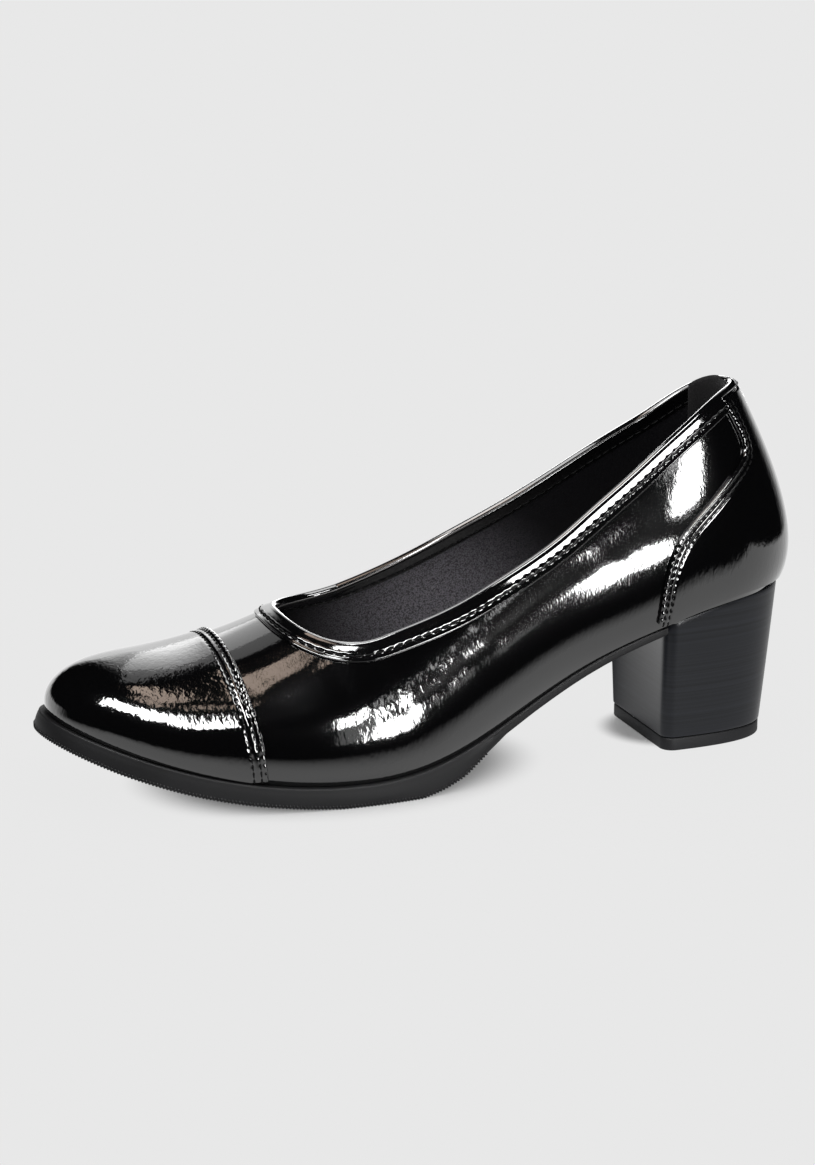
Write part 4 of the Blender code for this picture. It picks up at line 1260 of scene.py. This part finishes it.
LEVEL_PANELS = {
    "toe_side_panel":    ((310, 500, 500), 80, 360, 0, 26.0, WHITE),
    "toe_mid_panel":     ((387, 392, 500), 75, 115, 0, 26.0, WHITE),
    "toe_tip_panel":     ((396, 195, 500), 150, 360, 23.6, 26.0, WHITE),
    "cap_ceiling":       ((223, -71, 500), 38, 82, 0, 3.4, WARM),
    "cap_ceiling_near":  ((220, 35, 500), 40, 131, 0, 3.4, WARM),
    "vamp_ceiling":      ((267, 49, 500), 30, 92, 0, 3.4, WARM),
    "vamp_ceiling_near": ((257, 122, 500), 26, 54, 0, 3.4, WARM),
    "throat_ceiling":    ((203, 195, 500), 22, 60, 0, 3.4, WARM),
    "binding_panel":     ((72, 103, 200), 92, 26, 15, 26.0, WHITE),
    "throat_panel":      ((157, 50, 200), 12, 34, 0, 20.0, WHITE),
    "rim_panel":         ((118, -45, 200), 66, 110, 0, 5.0, WHITE),
}
PALE = "#E8E8E8"

# Where the shoe's shadow on the table is kept, in the frame: middle, half length and half width
SHADOW_SPOTS = [((124.0, 0.0), (53.0, 39.0)), ((8.0, -3.0), (19.0, 18.0))]

# Where the table clears, in the frame. Sideways it clears sooner toward the toe, by the slant for each
# millimetre of x up to the last. Ranges: aside, behind the heel, ahead of the toe
TABLE_SLANT = 0.5
TABLE_SLANT_TO_X = 80.0
TABLE_ASIDE = (90.0, 145.0)
TABLE_BEHIND = (-360.0, -460.0)
TABLE_AHEAD = (240.0, 340.0)

# What glossy surfaces see of the studio's far wall. Columns: axis, from, to, first and final amount
WALL_RAMPS = {
    "behind":    ("Y", -0.25, -0.7, 0.0, 1.0),
    "lift":      ("Z", 0.0, 0.42, 0.62, 1.0),
    "low":       ("Z", 0.02, 0.12, 1.0, 0.0),
    "fall":      ("Z", 0.4, 0.95, 1.8, 0.0),
    "toe_side":  ("X", 0.01, -0.11, 0.0, 1.0),
    "heel_side": ("X", -0.3, -0.42, 1.0, 0.0),
}


def stand(name, item, position, right, up, roll=0.0):
    """Puts a camera or a light at a position, upright on its right and up directions, turned by its roll."""
    roll = np.radians(roll)
    right, up = np.asarray(right, float), np.asarray(up, float)
    right, up = np.cos(roll) * right + np.sin(roll) * up, np.cos(roll) * up - np.sin(roll) * right
    turn = np.eye(4)
    turn[:3, :3] = np.stack([right, up, np.cross(right, up)], 1)
    turn[:3, 3] = place(position)
    placed = bpy.data.objects.new(name, item)
    bpy.context.scene.collection.objects.link(placed)
    placed.matrix_world = Matrix(turn.tolist())
    return placed


def build_camera():
    lens = bpy.data.cameras.new("view")
    lens.lens = VIEW_LENS
    lens.sensor_width = VIEW_FILM
    lens.clip_start = 0.01
    turn, rise = np.radians((VIEW_TURN, VIEW_RISE))
    back = np.array([np.sin(turn) * np.cos(rise), np.cos(turn) * np.cos(rise), np.sin(rise)])
    right = unit(np.cross((0, 0, 1.0), back))
    eye = np.array(VIEW_AIM) + VIEW_DISTANCE * back
    bpy.context.scene.camera = stand("view", lens, eye, right, np.cross(back, right))


def build_panels():
    for name, (centre, width, height, roll, light, tint) in {**SIDE_PANELS, **LEVEL_PANELS}.items():
        lamp = bpy.data.lights.new(name, "AREA")
        lamp.shape = "RECTANGLE"
        lamp.size = width * MM
        lamp.size_y = height * MM
        lamp.energy = light * np.pi * lamp.size * lamp.size_y
        lamp.color = linear_colour(tint)[:3]
        axes = ((-np.sign(centre[1]), 0, 0), (0, 0, 1)) if name in SIDE_PANELS else ((1, 0, 0), (0, 1, 0))
        panel = stand(name, lamp, centre, *axes, roll)
        panel.visible_camera = False
        panel.visible_diffuse = False


def build_table():
    """White table that keeps the shoe's shadow near it and clears to the studio's pale ground further off."""
    mesh = bpy.data.meshes.new("floor")
    mesh.from_pydata([(-1, -1, 0), (1.2, -1, 0), (1.2, 1, 0), (-1, 1, 0)], [], [(0, 1, 2, 3)])
    floor = bpy.data.objects.new("floor", mesh)
    bpy.context.scene.collection.objects.link(floor)
    # Matt white board: no gloss, and an even tone beyond the shadow
    sheet, tree, where = new_finish("matt_white_table")
    matt = add_node(tree, "ShaderNodeBsdfDiffuse", {"Color": linear_colour(PALE)})
    glow = add_node(tree, "ShaderNodeEmission", {"Color": linear_colour(PALE)})
    clear = add_node(tree, "ShaderNodeBsdfTransparent")
    reach = []
    for (x, y), (long, wide) in SHADOW_SPOTS:
        spot = add_node(tree, "ShaderNodeMapping", {
            "Vector": where, "Location": (-x / long, -y / wide, 0),
            "Scale": (1 / long / MM, 1 / wide / MM, 1)})
        reach.append(add_node(tree, "ShaderNodeVectorMath", {0: spot}, operation="LENGTH").outputs["Value"])
    near = add_node(tree, "ShaderNodeMath", {0: reach[0], 1: reach[1]}, operation="MINIMUM")
    flat = add_node(tree, "ShaderNodeMapRange", {0: near, 1: 0.85, 2: 1.3, 3: 0.1, 4: 0.98},
                    interpolation_type="SMOOTHSTEP")
    table = add_node(tree, "ShaderNodeMixShader", {0: flat, 1: matt, 2: glow})
    axes = add_node(tree, "ShaderNodeSeparateXYZ", {0: where}).outputs
    aside = add_node(tree, "ShaderNodeMath", {0: axes["Y"]}, operation="ABSOLUTE")
    along = add_node(tree, "ShaderNodeMath", {0: axes["X"], 1: TABLE_SLANT_TO_X * MM}, operation="MINIMUM")
    apart = add_node(tree, "ShaderNodeMath", {0: along, 1: TABLE_SLANT, 2: aside}, operation="MULTIPLY_ADD")
    fade = 0.0
    for value, (first, final) in ((apart, TABLE_ASIDE), (axes["X"], TABLE_BEHIND), (axes["X"], TABLE_AHEAD)):
        end = add_node(tree, "ShaderNodeMapRange", {0: value, 1: first * MM, 2: final * MM},
                       interpolation_type="SMOOTHSTEP")
        fade = add_node(tree, "ShaderNodeMath", {0: fade, 1: end}, operation="MAXIMUM")
    mixed = add_node(tree, "ShaderNodeMixShader", {0: fade, 1: table, 2: clear})
    plug(tree, tree.nodes["Material Output"], {0: mixed})
    tree.nodes.remove(tree.nodes["Principled BSDF"])
    mesh.materials.append(sheet)


def build_world():
    """Pale ground for the camera, an even white dome for matt surfaces and a dark studio for glossy ones."""
    world = bpy.data.worlds.new("studio")
    bpy.context.scene.world = world
    world.use_nodes = True
    tree = world.node_tree
    tree.nodes.clear()
    where = add_node(tree, "ShaderNodeTexCoord").outputs["Generated"]
    axes = add_node(tree, "ShaderNodeSeparateXYZ", {0: where}).outputs
    ramps = {}
    for name, (axis, near, far, first, final) in WALL_RAMPS.items():
        ramps[name] = add_node(tree, "ShaderNodeMapRange", {
            0: axes[axis], 1: near, 2: far, 3: first, 4: final}, interpolation_type="SMOOTHSTEP")
    wall = ramps["toe_side"]
    for name, operation in (("heel_side", "MULTIPLY"), ("low", "MAXIMUM"), ("fall", "MULTIPLY"),
                            ("lift", "MULTIPLY"), ("behind", "MULTIPLY")):
        wall = add_node(tree, "ShaderNodeMath", {0: wall, 1: ramps[name]}, operation=operation)
    dark = add_node(tree, "ShaderNodeBackground", {"Color": linear_colour(PALE), "Strength": wall})
    pale = add_node(tree, "ShaderNodeBackground", {"Color": linear_colour(PALE), "Strength": 1.0})
    dome = add_node(tree, "ShaderNodeBackground", {"Color": linear_colour(WHITE), "Strength": 1.0})
    ray = add_node(tree, "ShaderNodeLightPath").outputs
    seen = add_node(tree, "ShaderNodeMixShader", {0: ray["Is Camera Ray"], 1: dome, 2: pale})
    both = add_node(tree, "ShaderNodeMixShader", {0: ray["Is Glossy Ray"], 1: seen, 2: dark})
    add_node(tree, "ShaderNodeOutputWorld", {0: both})
    bpy.context.scene.view_settings.view_transform = "Standard"


build_shoe()
build_camera()
build_panels()
build_table()
build_world()
